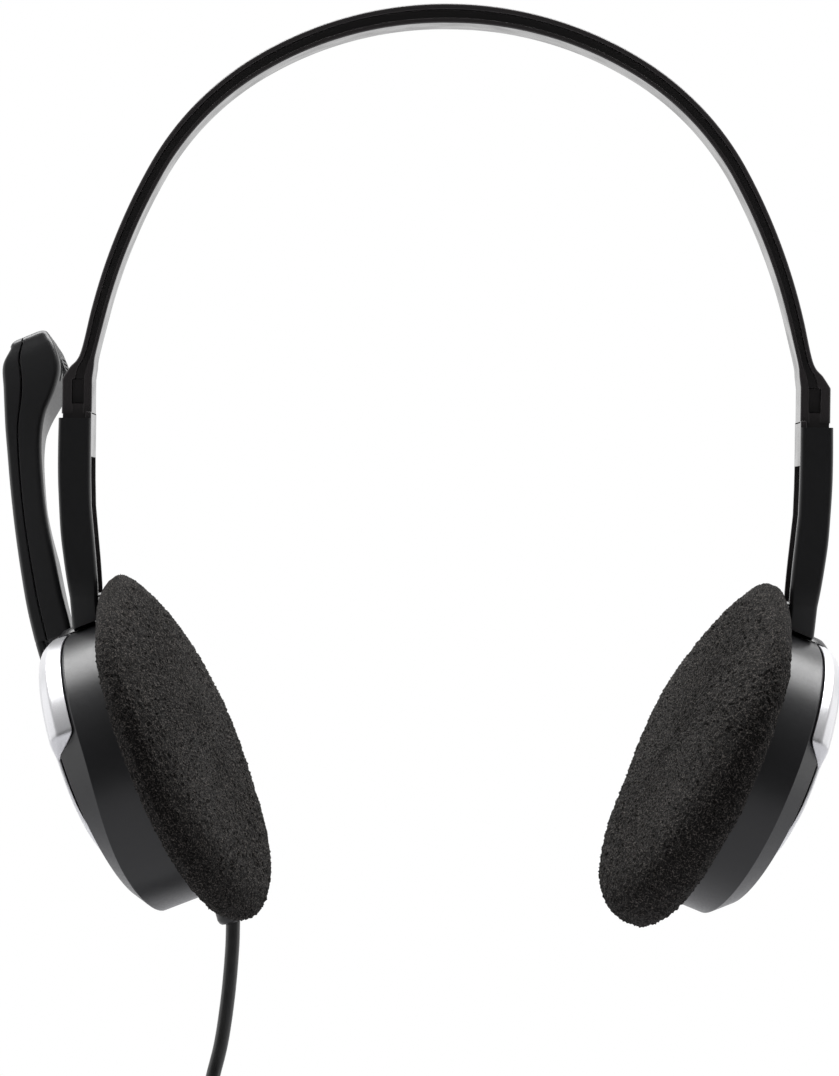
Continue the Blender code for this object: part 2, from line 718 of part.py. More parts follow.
def baffle(name, frame):
    """The front plate that the pad wraps: a flange, a spigot in the housing, sound holes and screw holes."""
    inside = WALL_RADIUS - WALL_THICKNESS - GAP
    profile = [
        (SOUND_HOLE_RADIUS, FLANGE_FRONT),
        (FLANGE_RADIUS, FLANGE_FRONT),
        (FLANGE_RADIUS, FLANGE_BACK),
        (inside, FLANGE_BACK),
        (inside, SPIGOT_BACK),
        (inside - SPIGOT_THICKNESS, SPIGOT_BACK),
        (inside - SPIGOT_THICKNESS, FLANGE_BACK),
        (SOUND_HOLE_RADIUS, FLANGE_BACK),
    ]
    plate = add_object(name + "_baffle", turned(profile), "black_shell", frame, CUP_OFFSET)
    places = []
    for count, radius, first_turn in SOUND_HOLE_RINGS:
        turns = [first_turn + math.tau * i / count for i in range(count)]
        places += [(radius * math.cos(a), radius * math.sin(a)) for a in turns]
    hole = rod(SOUND_HOLE_RADIUS, -FAR, FAR, HOLE_SIDES)
    boolean(plate, add_object("sound_holes", cluster(hole, places), None, frame, CUP_OFFSET))
    hole = rod(SCREW_HOLE_RADIUS, -FAR, FAR, HOLE_SIDES)
    boolean(plate, add_object("screw_holes", cluster(hole, boss_places()), None, frame, CUP_OFFSET))


def cup_screws(name, frame):
    for number, (x, y) in enumerate(boss_places(), 1):
        place = Vector(CUP_OFFSET) + Vector((x, y, 0))
        screw = turned(CUP_SCREW, HOLE_SIDES, ring=False)
        add_object(f"{name}_cup_screw_{number}", screw, "steel", frame, place)


def driver(name, frame):
    """The loudspeaker: a frame, a magnet with its gap, a voice coil in the gap and a domed diaphragm."""
    add_object(name + "_driver_frame", turned(BASKET, DRIVER_STEPS), "black_shell", frame, CUP_OFFSET)
    add_object(name + "_driver_magnet", turned(MAGNET, DRIVER_STEPS, ring=False), "steel", frame, CUP_OFFSET)
    add_object(name + "_voice_coil", turned(VOICE_COIL, DRIVER_STEPS), "copper", frame, CUP_OFFSET)
    add_object(name + "_diaphragm", turned(DIAPHRAGM, DRIVER_STEPS, ring=False), "film", frame, CUP_OFFSET)


def ball_seat(name, frame):
    """The socket that carries the ball, fixed in the top of the housing."""
    seat = add_object(name + "_ball_seat", block(*SEAT_BLOCK), "black_shell", frame, CUP_OFFSET)
    socket = ball(BALL_RADIUS + GAP, (0, BALL_IN_CUP[0], BALL_IN_CUP[1]))
    boolean(seat, add_object("ball_socket", socket, None, frame, CUP_OFFSET))


def ear_pad(name, frame):
    """The foam pad as a plain solid: a thick face, a side and a lip behind the flange."""
    cavity_radius = FLANGE_RADIUS + PAD_CLEARANCE
    lip_radius = WALL_RADIUS + PAD_CLEARANCE
    profile = [
        *PAD_OUTSIDE,
        (lip_radius, PAD_BACK),
        (lip_radius, FLANGE_BACK + GAP),
        (cavity_radius, FLANGE_BACK + GAP),
        (cavity_radius, PAD_CAVITY_FRONT),
        (0, PAD_CAVITY_FRONT),
    ]
    add_object(name + "_ear_pad", turned(profile, ring=False), "foam", frame, CUP_OFFSET)


# Microphone boom


def boom_loft(stations, low, high):
    """A loft along the boom. low and high choose the part of the thickness, 0 inside and 1 outside."""
    rings = []
    for distance, inner, outer, half_width in stations:
        near = inner + (outer - inner) * low
        far = inner + (outer - inner) * high
        corner = min(BOOM_CORNER, 0.45 * (far - near))
        loop = rounded_loop(near, far, -half_width, half_width, corner, 0)
        rings.append([(x, distance, w) for w, x, _ in loop])
    return loft(rings)


def boom_hub():
    """The disc at the boom's root with the hollow post that turns in the housing's back."""
    return turned(
        [
            (0, HUB_TOP),
            (HUB_RADIUS, HUB_TOP),
            (HUB_RADIUS, HUB_BOTTOM),
            (POST_RADIUS, HUB_BOTTOM),
            (POST_RADIUS, POST_END),
            (POST_BORE_RADIUS, POST_END),
            (POST_BORE_RADIUS, HUB_TOP - HUB_THICKNESS),
            (0, HUB_TOP - HUB_THICKNESS),
        ],
        ring=False,
    )


def boom_shells(frame):
    """The inner half, which carries the hub and the microphone, and the long lid over it."""
    inner_half = boom_loft(BOOM_STATIONS, 0.0, BOOM_SPLIT - BOOM_SPLIT_GAP)
    shell = add_object("boom_inner_shell", inner_half, "black_shell", frame)
    neck = boom_loft((*BOOM_NECK, NECK_ROOT), 0.0, 1.0)
    boolean(shell, add_object("boom_neck", neck, None, frame), "UNION")
    boolean(shell, add_object("boom_hub", boom_hub(), None, frame), "UNION")
    web = block((-WEB_HALF_WIDTH, 9.0, HUB_BOTTOM + 0.65), (WEB_HALF_WIDTH, 15.4, HUB_TOP - 0.05))
    boolean(shell, add_object("boom_web", web, None, frame), "UNION")
    hollow = []
    for distance, inner, outer, half_width in BOOM_STATIONS[1:-1]:
        low, high = inner + BOOM_SHELL, outer + 1.0
        width = half_width - BOOM_SHELL
        corners = ((-width, low), (width, low), (width, high), (-width, high))
        hollow.append([(x, distance, w) for x, w in corners])
    boolean(shell, add_object("boom_hollow", loft(hollow), None, frame))
    window = rod(MIC_WINDOW_RADIUS, -FAR, MIC_BOTTOM + 1)
    boolean(shell, add_object("microphone_window", window, None, frame, (0, MIC_DISTANCE, 0)))
    outer_half = boom_loft(BOOM_STATIONS[1:], BOOM_SPLIT + BOOM_SPLIT_GAP, 1.0)
    add_object("boom_outer_shell", outer_half, "black_shell", frame)


def microphone(frame):
    place = Vector((0, MIC_DISTANCE, 0))
    capsule = rod(MIC_RADIUS, MIC_BOTTOM, MIC_BOTTOM + MIC_LENGTH)
    add_object("microphone_capsule", capsule, "steel", frame, place)
    disc = rod(MIC_WINDOW_RADIUS - GAP, *GRILLE_HEIGHTS)
    grille = add_object("microphone_grille", disc, "black_shell", frame, place)
    half_length, half_width = GRILLE_SLOT
    for offset in GRILLE_SLOT_OFFSETS:
        slot = block((-half_length, offset - half_width, -FAR), (half_length, offset + half_width, FAR))
        boolean(grille, add_object("grille_slot", slot, None, frame, place))


def boom_pivot(frame):
    """What holds the boom's post: a washer and a screw in the cup, and a friction washer under the hub."""
    add_object("boom_pivot_washer", turned(PIVOT_WASHER, DRIVER_STEPS), "steel", frame)
    add_object("boom_pivot_screw", turned(PIVOT_SCREW, SMALL_STEPS, ring=False), "steel", frame)
    add_object("boom_friction_washer", turned(FRICTION_WASHER, DRIVER_STEPS), "rubber", frame)


def boom_cap(frame):
    """The silver disc on the boom's hub, notched where the boom's neck leaves it."""
    cap = cover_disc("boom", "_hub_cap", frame, (0, 0, 0))
    low = (-NECK_NOTCH_HALF_WIDTH, DISC_RADIUS - 2.6, DISC_BOTTOM - FAR)
    high = (NECK_NOTCH_HALF_WIDTH, DISC_RADIUS + FAR, DISC_TOP - DISC_THICKNESS - 0.05)
    boolean(cap, add_object("neck_notch", block(low, high), None, frame))


# Cord


def ring_round(centre, direction, radius, count=12):
    """Points of a circle across a direction."""
    side = direction.cross(Vector((0, 1, 0))).normalized()
    other = direction.cross(side).normalized()
    turns = [math.tau * i / count for i in range(count)]
    return [centre + radius * (math.cos(a) * side + math.sin(a) * other) for a in turns]


def into(frame_matrix, point):
    """A point of the whole object's frame, in millimetres, in a frame's own axes."""
    return (frame_matrix.inverted() @ (Vector(point) * MM)) / MM


def strain_relief(frame, matrix, housing):
    """A bent rubber collar from inside the cup's wall to the cord."""
    line = smooth_line(RELIEF_ROUTE, 8)
    rings, cutter_rings = [], []
    for i, place in enumerate(line):
        before, after = line[max(i - 1, 0)], line[min(i + 1, len(line) - 1)]
        direction = (after - before).normalized()
        rings.append([into(matrix, p) for p in ring_round(place, direction, RELIEF_RADIUS)])
        cutter_rings.append([into(matrix, p) for p in ring_round(place, direction, RELIEF_RADIUS + GAP)])
    down = Vector((0, 0, -1))
    rings[-1] = [into(matrix, p) for p in ring_round(line[-1], down, CORD_DIAMETER / 2 + GAP)]
    shoulder = ring_round(line[-1] - RELIEF_SHOULDER * down, down, RELIEF_RADIUS)
    rings.insert(-1, [into(matrix, p) for p in shoulder])
    add_object("strain_relief", loft(rings), "rubber", frame)
    boolean(housing, add_object("relief_hole", loft(cutter_rings), None, frame))


def local_tube(name, route, count, frame, matrix):
    line = [into(matrix, p) for p in smooth_line(route, count)]
    tube(name, line, CORD_DIAMETER, "rubber", frame)


def tie_block(reach, half_width):
    """A block round the top of the coil, with its zero at the coil's centre."""
    low = (-half_width, -reach, COIL_MEAN_RADIUS - reach)
    high = (half_width, reach, COIL_MEAN_RADIUS + reach)
    return block(low, high)


def cord_coil(frame, matrix):
    """The outer shape of the wound cord, a turned ring that hangs in the X-Z plane."""
    profile = []
    for i in range(HOLE_SIDES):
        angle = math.tau * (i + 0.5) / HOLE_SIDES
        radius = COIL_MEAN_RADIUS + COIL_BUNDLE_RADIUS * math.cos(angle)
        profile.append((radius, COIL_BUNDLE_RADIUS * math.sin(angle)))
    place = matrix.inverted() @ Matrix.Translation(Vector(COIL_CENTRE) * MM)
    coil = add_object("cord_coil", turned(profile, COIL_STEPS), "rubber", frame)
    coil.matrix_local = place @ Matrix.Rotation(math.pi / 2, 4, "X")
    inner = COIL_BUNDLE_RADIUS + GAP
    tie = add_object("cord_tie", tie_block(inner + TIE_THICKNESS, TIE_HALF_WIDTH), "rubber", frame)
    inside = add_object("tie_inside", tie_block(inner, TIE_HALF_WIDTH + FAR), None, frame)
    tie.matrix_local = inside.matrix_local = place
    boolean(tie, inside)


def plug(frame, matrix):
    place = matrix.inverted() @ Matrix.Translation(Vector(PLUG_TOP) * MM)
    handle = add_object("plug_body", turned(PLUG_BODY, SMALL_STEPS, ring=False), "rubber", frame)
    handle.matrix_local = place
    contact = add_object("plug_pin", turned(PLUG_PIN, SMALL_STEPS, ring=False), "gold", frame)
    contact.matrix_local = place @ Matrix.Translation((0, 0, (PLUG_BODY[-1][1] - GAP) * MM))


# Assembly


def cup(name, side, frame):
    housing = cup_housing(name, frame)
    cup_cover(name, frame)
    baffle(name, frame)
    cup_screws(name, frame)
    driver(name, frame)
    ball_seat(name, frame)
    ear_pad(name, frame)
    return housing


def main():
    band = headband()
    crossover_wire(band)
    for name, side in (("left", -1), ("right", 1)):
        slider_tongue(name, side, band)
        arm = empty(name + "_arm_frame", band, arm_origin(side))
        arm_shell(name, side, arm)
        arm_inner_plate(name, side, arm)
        swivel_place = Vector((side * BALL[0], 0, BALL[1])) - arm_origin(side)
        swivel = empty(name + "_swivel_frame", arm, swivel_place)
        swivel_stud(name, swivel)
        cup_frame = empty(name + "_cup_frame", swivel, turn=cup_turn(side))
        housing = cup(name, side, cup_frame)
        if side > 0:
            cover_disc(name, "_cover_disc", cup_frame, CUP_OFFSET)
            continue
        boom = empty("boom_frame", cup_frame, CUP_OFFSET, Matrix.Rotation(BOOM_LEAN, 4, "Z"))
        boom_shells(boom)
        microphone(boom)
        boom_pivot(boom)
        boom_cap(boom)
        bpy.context.view_layer.update()
        matrix = cup_frame.matrix_world.copy()
        strain_relief(cup_frame, matrix, housing)
        local_tube("cord", CORD_ROUTE, 14, cup_frame, matrix)
        cord_coil(cup_frame, matrix)
        local_tube("cord_tail", TAIL_ROUTE, 6, cup_frame, matrix)
        plug(cup_frame, matrix)


main()
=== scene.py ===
"""Looks of the on-ear headset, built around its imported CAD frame.

Lengths are in millimetres and become metres when a mesh is made. +X is to the right, +Z is up and +Y is the
way the wearer faces. A cup has its own frame: local Y points up in the plane of the pad, local Z points
outwards along the cup's axis, and the zero of both is the middle of the ear pad.
"""

import json
import math

import bmesh
import bpy
import numpy as np
from mathutils import Matrix, Vector, noise

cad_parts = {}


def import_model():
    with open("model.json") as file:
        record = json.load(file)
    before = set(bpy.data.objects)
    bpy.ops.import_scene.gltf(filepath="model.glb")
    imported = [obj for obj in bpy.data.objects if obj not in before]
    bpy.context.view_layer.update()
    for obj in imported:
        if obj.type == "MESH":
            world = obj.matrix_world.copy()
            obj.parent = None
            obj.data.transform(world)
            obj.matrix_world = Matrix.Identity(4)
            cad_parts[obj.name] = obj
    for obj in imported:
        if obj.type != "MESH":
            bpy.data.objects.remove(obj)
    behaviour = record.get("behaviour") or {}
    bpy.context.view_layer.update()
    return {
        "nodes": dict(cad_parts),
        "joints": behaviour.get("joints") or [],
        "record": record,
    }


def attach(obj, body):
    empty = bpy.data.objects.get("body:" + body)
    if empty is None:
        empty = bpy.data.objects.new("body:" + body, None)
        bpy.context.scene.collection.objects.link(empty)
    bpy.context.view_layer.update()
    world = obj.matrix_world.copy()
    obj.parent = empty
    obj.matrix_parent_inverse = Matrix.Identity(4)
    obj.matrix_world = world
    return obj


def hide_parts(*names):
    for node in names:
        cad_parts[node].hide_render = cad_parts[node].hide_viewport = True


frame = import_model()
MM = 0.001
SHARP_ANGLE = math.radians(42)
BEVEL_ANGLE = math.radians(38)
JOINTS = {joint["name"]: joint for joint in frame["joints"]}

CAMERA_PLACE = (-4.3, -800.0, -88.9)
CAMERA_LENS = 154.2
CAMERA_ROLL = math.radians(-0.75)

# Headband
BAND_ARCS = ((64.3, 31.0), (51.2, 30.0), (102.3, 15.5))
BAND_CROWN_THICKNESS = 3.4
BAND_END_THICKNESS = 2.65
BAND_HALF_DEPTH = 5.3
BAND_STEP = 1.0
BAND_GROOVE_DEPTH = 1.6
BAND_OUTER_RIM = 0.30
BAND_INNER_RIM = 0.26
# Height, inner face, outer face, the groove's inner and outer wall, and its depth.
BAND_END_STATIONS = (
    (-57.8, 60.55, 63.25, 61.3, 62.4, 1.6),
    (-60.2, 60.85, 65.0, 62.1, 63.6, 1.6),
    (-62.1, 61.1, 66.25, 62.5, 64.1, 1.6),
    (-62.3, 61.1, 66.3, 62.5, 64.6, 1.9),
    (-66.2, 61.1, 66.3, 62.5, 64.6, 1.9),
    (-66.5, 61.1, 66.3, 62.6, 64.5, 0.25),
    (-68.2, 61.1, 66.3, 62.6, 64.5, 0.25),
)
# The dark collar under each band end: height, inner face, outer face and half depth.
BAND_COLLAR = (-68.95, 61.3, 66.1, 5.1)
BAND_COLLAR_TOP = -68.0
# The pocket in each band end: its middle, half width, half depth, bottom and top.
BAND_POCKET = (64.1, 1.4, 3.1, -75, -63.2)
WIRE_DIAMETER = 0.75
WIRE_GAP = 0.05
# The wire ends before the last stations of the band.
WIRE_STATIONS_SHORT = 6

# Arms
ARM_CORNER = 0.75
# Height, inner face, outer face and half depth of the arm, from its sleeve to its foot.
ARM_STATIONS = (
    (-69.0, 61.1, 66.7, 7.1),
    (-74.0, 61.1, 66.75, 7.1),
    (-79.0, 61.05, 66.7, 7.1),
    (-84.0, 60.9, 66.45, 7.1),
    (-89.0, 60.4, 66.1, 7.1),
    (-93.5, 59.95, 65.5, 7.1),
    (-97.0, 59.65, 64.95, 7.0),
    (-100.0, 59.5, 64.4, 6.7),
)
FOOT_SECTION = (59.2, 63.9, 6.0)
FOOT_BOTTOM_AT_INNER = -103.55
FOOT_BOTTOM_SLOPE = -0.403
PLATE_THICKNESS = 1.0
PLATE_TOP = -67.9
PLATE_BOTTOM = -99.5
PLATE_HALF_DEPTH = 6.35
PLATE_MIDDLE = 61.0
RECESS_HALF_DEPTH = 6.5
RECESS_GAP = 0.15
RECESS_BELOW = 0.3
# A height that is clear above the arm, where its cutters start.
ABOVE_ARM = -60.0
PLATE_SLOT_TOP = -75.6
PLATE_SLOT_BOTTOM = -99.1
PLATE_SLOT_HALF_DEPTH = 5.4
SLIDE_TOP = (63.95, -69.0)
SLIDE_LEAN = math.radians(2.2)
SLEEVE_HALF_DEPTH = 4.75
SLEEVE_HALF_THICKNESS = 1.45
SLEEVE_FLOOR = -94.2

# Ball joint: the ball's centre, and the cup's round boss that turns in the foot's hollow.
BALL = (61.4, 0.0, -110.1)
BOSS_RADIUS = 6.1
BOSS_ROOT = 4.6
BOSS_HOLE = 2.6
HOLLOW_RADIUS = 6.25

# Cup. The shown pads, and the right cup's shells, sit a little further in along their axis than the CAD's.
PAD_INSET = 1.2
SHELL_INSET = {"left": 0.0, "right": 1.2}
# Height of the edge between the wall and the bevelled back, at the cup's top and at its bottom.
SEAM = {"left": (10.6, 13.2), "right": (11.8, 12.0)}
SEAM_SPAN = (6.0, -22.0)
WALL_RADIUS = 25.3
WALL_FRONT = 2.3
BACK = 15.3
COVER_TOP = 16.4
COVER_BOTTOM = 15.55
COVER_PLATEAU_RADIUS = 21.9
COVER_NOTCH_UP = (5.2, 8.6)
COVER_LOW_SHRINK = (3.2, -3.0, -17.0)
WELL_RADIUS = 14.95
DISC_RADIUS = 14.6
DISC_TOP = 18.3
DISC_BOTTOM = 15.7
# The housing's wall, its flat back's radius, the hole in that back, and the opening in the wall for the stud.
HOUSING_WALL = 1.8
HOUSING_BACK_RADIUS = 22.3
HOUSING_HOLE = 3.3
STUD_OPENING_HALF_WIDTH = 2.3
STUD_OPENING_SPAN = (22.0, 28.0)
STUD_OPENING_FROM = 6.2

# Ear pads. The profile is in radius and height, from the middle of the front to the middle of the back.
PAD_PROFILE = (
    (0.0, -5.7),
    (8.0, -5.65),
    (16.0, -5.5),
    (22.5, -5.2),
    (26.6, -4.7),
    (29.2, -3.7),
    (30.9, -2.1),
    (31.6, -0.2),
    (31.5, 1.7),
    (30.8, 3.3),
    (29.4, 4.4),
    (27.6, 4.7),
    (26.1, 4.2),
    (25.45, 3.0),
    (25.45, 2.0),
    (27.5, 2.0),
    (27.5, 0.1),
    (14.0, 0.1),
    (0.0, 0.1),
)
# How far each pad's front is pressed in, in its middle, and more towards its top and its bottom.
PAD_PRESSED = {"left": (2.0, 0.9, -0.6), "right": (1.1, 1.8, -1.6)}
PAD_PRESSED_FROM = (4.0, 28.0)
# The pad's rear is smoother and thinner beside the arm.
PAD_CLEAR = 0.6
PAD_STEP = 0.36
PAD_RADIUS = 31.7
# The seam round the rim: its height, its width and its depth.
PAD_SEAM = (2.3, 0.35, 0.4)

# Boom. A station is its distance from the hub, its inner face, its outer face and its half width.
BOOM_LEAN = math.radians(12.0)
BOOM_STATIONS = (
    (27.2, 11.3, 18.4, 4.4),
    (33.0, 10.9, 17.9, 4.5),
    (40.0, 10.1, 16.9, 4.5),
    (47.0, 9.2, 15.7, 4.5),
    (54.0, 7.7, 14.3, 4.5),
    (60.0, 6.0, 12.9, 4.6),
    (64.5, 3.8, 11.8, 4.8),
    (68.0, 0.8, 10.8, 5.0),
    (71.5, -1.2, 9.8, 5.1),
    (75.5, -1.5, 8.7, 5.0),
    (78.0, -1.0, 6.5, 4.6),
)
BOOM_NECK = (
    (13.0, 16.7, 18.0, 4.2),
    (17.0, 16.7, 18.35, 4.3),
    (21.0, 16.7, 18.5, 4.4),
    (25.8, 16.7, 18.42, 4.4),
)
BOOM_ROOT = (25.75, 11.6, 18.4, 4.4)
# The inner moulding starts lower, and its end is hollowed to lie round the cup.
BOOM_INNER_ROOT = (23.4, 11.9, 18.4, 4.4)
BOOM_HOLLOW = (25.7, 17.5)
# How much the boom's inner face slants, at each place along it.
BOOM_SLANTS = ((27.0, 40.0, 50.0, 63.0, 69.0), (1.7, 1.8, 2.6, 2.6, 1.1))
BOOM_SPLIT = 0.66
BOOM_CORNER = 1.0
BOOM_SEAM_CORNER = 0.12
BOOM_SEAM_SHARE = 0.02
BOOM_TIP_ROUND = 1.3
HUB_RADIUS = 13.4
HUB_TOP = 17.3
HUB_BOTTOM = 16.1
CAP_NOTCH = ((-4.7, 12.0, 8.0), (4.7, 20.0, DISC_TOP - 0.35))
GRILLE_OFFSETS = (-2.7, -0.9, 0.9, 2.7)
GRILLE_SLOT = 0.7
GRILLE_FLOOR = 0.1
GRILLE_SPAN = (64.0, 82.0)

# Cord
CORD_DIAMETER = 2.5
RELIEF_ROUTE = ((-40.35, 6.6, -147.9), (-38.7, 7.6, -150.9), (-36.9, 8.0, -153.9), (-36.1, 8.0, -156.7))
CORD_ROUTE = (
    (-36.1, 8.0, -156.3),
    (-36.2, 8.0, -161.5),
    (-36.8, 8.0, -169.5),
    (-37.85, 8.0, -177.5),
    (-39.15, 7.6, -183.2),
)
COIL_CENTRE = (-34.15, 8.0, -212.9)
COIL_MEAN_RADIUS = 15.0
COIL_PITCH = 2.5
COIL_STEPS = 24
COIL_BEND = 6.0
# The last part of each turn, in which the cord shifts to its neighbour's place.
COIL_SHIFT = 0.16
# Each turn's place in the bundle: its layer outwards from the middle one and its place across, in pitches.
COIL_LAYER = math.sqrt(0.75)
COIL_WINDING = (
    (2, -1.0),
    (2, 0.0),
    (1, -0.5),
    (1, -1.5),
    (0, -2.0),
    (0, -1.0),
    (0, 0.0),
    (-1, -0.5),
    (-1, -1.5),
    (-2, -1.0),
    (-2, 0.0),
    (-2, 1.0),
    (-1, 1.5),
    (-1, 0.5),
    (0, 1.0),
    (0, 2.0),
    (1, 1.5),
    (1, 0.5),
    (2, 1.0),
)
TAIL_ROUTE = ((-40.3, 9.0, -244.0), (-40.45, 8.0, -249.0), (-40.45, 8.0, -251.5))
PLUG_TOP = (-40.45, 8.0, -250.9)
PLUG_PIN_TOP = -21.3
RELIEF_STEPS = 100
# Share of the relief's length and its radius there.
RELIEF_SHAPE = (
    (0.0, 2.3),
    (0.45, 2.3),
    (0.52, 2.3),
    (0.54, 2.0),
    (0.66, 2.0),
    (0.68, 2.6),
    (0.9, 2.6),
    (0.96, 2.35),
    (0.99, 2.0),
    (1.0, 1.45),
)

# Studio. The world's level goes by the Y of the direction looked at: -1 is the camera's side, 1 the far side.
WORLD_STOPS = ((-0.85, 0.13), (-0.3, 0.4), (0.35, 0.5), (0.75, 1.0))
BOX_AIM = (0, 0, -0.09)
# Place, width, height and radiance of each soft box. Each looks at the middle of the object.
SOFT_BOXES = {
    "overhead_box": ((0.0, 0.3, 1.1), 2.2, 0.9, 9.0),
    "left_box": ((-1.25, 0.2, -0.05), 1.0, 1.2, 0.8),
    "right_box": ((1.25, 0.2, -0.05), 1.0, 1.2, 0.8),
}
FLOOR = ((-600.0, -600.0, -312.0), (600.0, 600.0, -310.0))


# Meshes


def mesh_of(points, faces):
    """A mesh of points in millimetres, with its faces pointing out and shaded smooth."""
    mesh = bpy.data.meshes.new("piece")
    mesh.from_pydata(np.asarray(points, float) * MM, [], faces)
    bm = bmesh.new()
    bm.from_mesh(mesh)
    bmesh.ops.remove_doubles(bm, verts=bm.verts, dist=1e-8)
    bmesh.ops.recalc_face_normals(bm, faces=bm.faces)
    bm.to_mesh(mesh)
    bm.free()
    mesh.shade_smooth()
    mesh.set_sharp_from_angle(angle=SHARP_ANGLE)
    return mesh


def skin(rings, wrap_rows=False, caps=True):
    """Quads between rings of points. rings is (rings, points, 3); each ring is closed."""
    rings = np.asarray(rings, float)
    rows, columns = rings.shape[:2]
    index = np.arange(rows * columns).reshape(rows, columns)
    if wrap_rows:
        index = np.vstack([index, index[:1]])
    here, there = index[:-1], index[1:]
    quads = np.stack([here, np.roll(here, -1, 1), np.roll(there, -1, 1), there], axis=-1)
    faces = quads.reshape(-1, 4).tolist()
    if caps and not wrap_rows:
        faces.append(index[0].tolist())
        faces.append(index[-1].tolist())
    return mesh_of(rings.reshape(-1, 3), faces)


def filleted(corners, steps=4):
    """A closed outline through corners (x, y, radius), with each corner rounded by its radius."""
    outline = []
    count = len(corners)
    for i, (x, y, radius) in enumerate(corners):
        here = Vector((x, y))
        before = Vector(corners[i - 1][:2]) - here
        after = Vector(corners[(i + 1) % count][:2]) - here
        half = before.angle(after) / 2
        if radius <= 0 or half > math.radians(89):
            outline += [(x, y)] * (steps + 1)
            continue
        reach = min(radius / math.tan(half), before.length * 0.48, after.length * 0.48)
        radius = reach * math.tan(half)
        start, end = here + before.normalized() * reach, here + after.normalized() * reach
        middle = here + (before.normalized() + after.normalized()).normalized() * radius / math.sin(half)
        first, last = start - middle, end - middle
        sweep = first.angle_signed(last)
        for k in range(steps + 1):
            turn = -sweep * k / steps
            outline.append(tuple(middle + Matrix.Rotation(turn, 2) @ first))
    return outline


def turned(corners, steps=160, fillet_steps=4):
    """A solid of revolution of an outline of (radius, height, fillet)."""
    outline = filleted(corners, fillet_steps)
    rings = []
    for i in range(steps):
        turn = math.tau * i / steps
        rings.append([(r * math.cos(turn), r * math.sin(turn), h) for r, h in outline])
    return skin(rings, wrap_rows=True)


def spun(profile, steps):
    """A surface of revolution from an open profile whose ends lie on the axis."""
    angles = np.arange(steps) * math.tau / steps
    profile = np.asarray(profile, float)
    x = profile[:, 0:1] * np.cos(angles)
    y = profile[:, 0:1] * np.sin(angles)
    z = np.repeat(profile[:, 1:2], steps, axis=1)
    return np.stack([x, y, z], axis=-1)


def block(low, high):
    mesh = bpy.data.meshes.new("block")
    bm = bmesh.new()
    bmesh.ops.create_cube(bm, size=1.0)
    bmesh.ops.scale(bm, vec=(Vector(high) - Vector(low)) * MM, verts=bm.verts)
    bmesh.ops.translate(bm, vec=(Vector(high) + Vector(low)) / 2 * MM, verts=bm.verts)
    bm.to_mesh(mesh)
    bm.free()
    return mesh


def ball(radius):
    profile = [(radius * math.sin(a), radius * math.cos(a)) for a in np.linspace(0.0, math.pi, 33)]
    return skin(spun(profile, 64), caps=False)


def between(a, b, c, d, t):
    """The place at t between b and c on a Catmull-Rom curve through a, b, c and d."""
    return 0.5 * (2 * b + (c - a) * t + (2 * a - 5 * b + 4 * c - d) * t**2 + (3 * b - a - 3 * c + d) * t**3)


def smooth_line(route, count):
    """Points at even parameter steps on a Catmull-Rom curve through the route's points."""
    points = [Vector(p) for p in route]
    padded = [points[0] * 2 - points[1], *points, points[-1] * 2 - points[-2]]
    line = []
    for i in range(count):
        place = i * (len(points) - 1) / (count - 1)
        k = min(int(place), len(points) - 2)
        line.append(between(*padded[k : k + 4], place - k))
    return line


def fine_stations(stations, per_span):
    """Stations at even steps on a curve through the given ones."""
    route = [np.array(s, float) for s in stations]
    padded = [2 * route[0] - route[1], *route, 2 * route[-1] - route[-2]]
    fine = []
    for k in range(len(route) - 1):
        for t in np.arange(per_span) / per_span:
            fine.append(between(*padded[k : k + 4], t))
    fine.append(route[-1])
    return fine


def smoothstep(low, high, value):
    t = np.clip((value - low) / (high - low), 0, 1)
    return t * t * (3 - 2 * t)


def shaped(mesh, cutters=(), bevel=0.0):
    """The mesh with cutter meshes taken out and its sharp edges bevelled."""
    obj = bpy.data.objects.new("shaped", mesh)
    bpy.context.scene.collection.objects.link(obj)
    helpers = []
    for cutter in cutters:
        helper = bpy.data.objects.new("cutter", cutter)
        bpy.context.scene.collection.objects.link(helper)
        helpers.append(helper)
        modifier = obj.modifiers.new("cut", "BOOLEAN")
        modifier.object = helper
    if bevel:
        modifier = obj.modifiers.new("edges", "BEVEL")
        modifier.width = bevel * MM
        modifier.segments = 2
        modifier.limit_method = "ANGLE"
        modifier.angle_limit = BEVEL_ANGLE
        modifier.harden_normals = True
    made = bpy.data.meshes.new_from_object(obj.evaluated_get(bpy.context.evaluated_depsgraph_get()))
    for used in (obj, *helpers):
        bpy.data.objects.remove(used)
    return made


def piece(name, mesh, material, body, matrix=None, replaces=(), flat_normals=True):
    """A shown piece that rides on a CAD body, with its mesh moved by the matrix."""
    obj = bpy.data.objects.new(name, mesh)
    bpy.context.scene.collection.objects.link(obj)
    mesh.materials.clear()
    mesh.materials.append(material)
    if matrix is not None:
        mesh.transform(matrix)
    if flat_normals:
        modifier = obj.modifiers.new("flat faces", "WEIGHTED_NORMAL")
        modifier.keep_sharp = True
    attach(obj, body)
    if replaces:
        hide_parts(*replaces)
    return obj


# Materials


def new_material(name, colour, roughness, metallic=0.0):
    made = bpy.data.materials.new(name)
    made.use_nodes = True
    shader = made.node_tree.nodes["Principled BSDF"]
    shader.inputs["Base Color"].default_value = (*colour, 1)
    shader.inputs["Roughness"].default_value = roughness
    shader.inputs["Metallic"].default_value = metallic
    return made


def add_node(tree, kind, **inputs):
    made = tree.nodes.new(kind)
    for name, value in inputs.items():
        made.inputs[name.replace("_", " ")].default_value = value
    return made


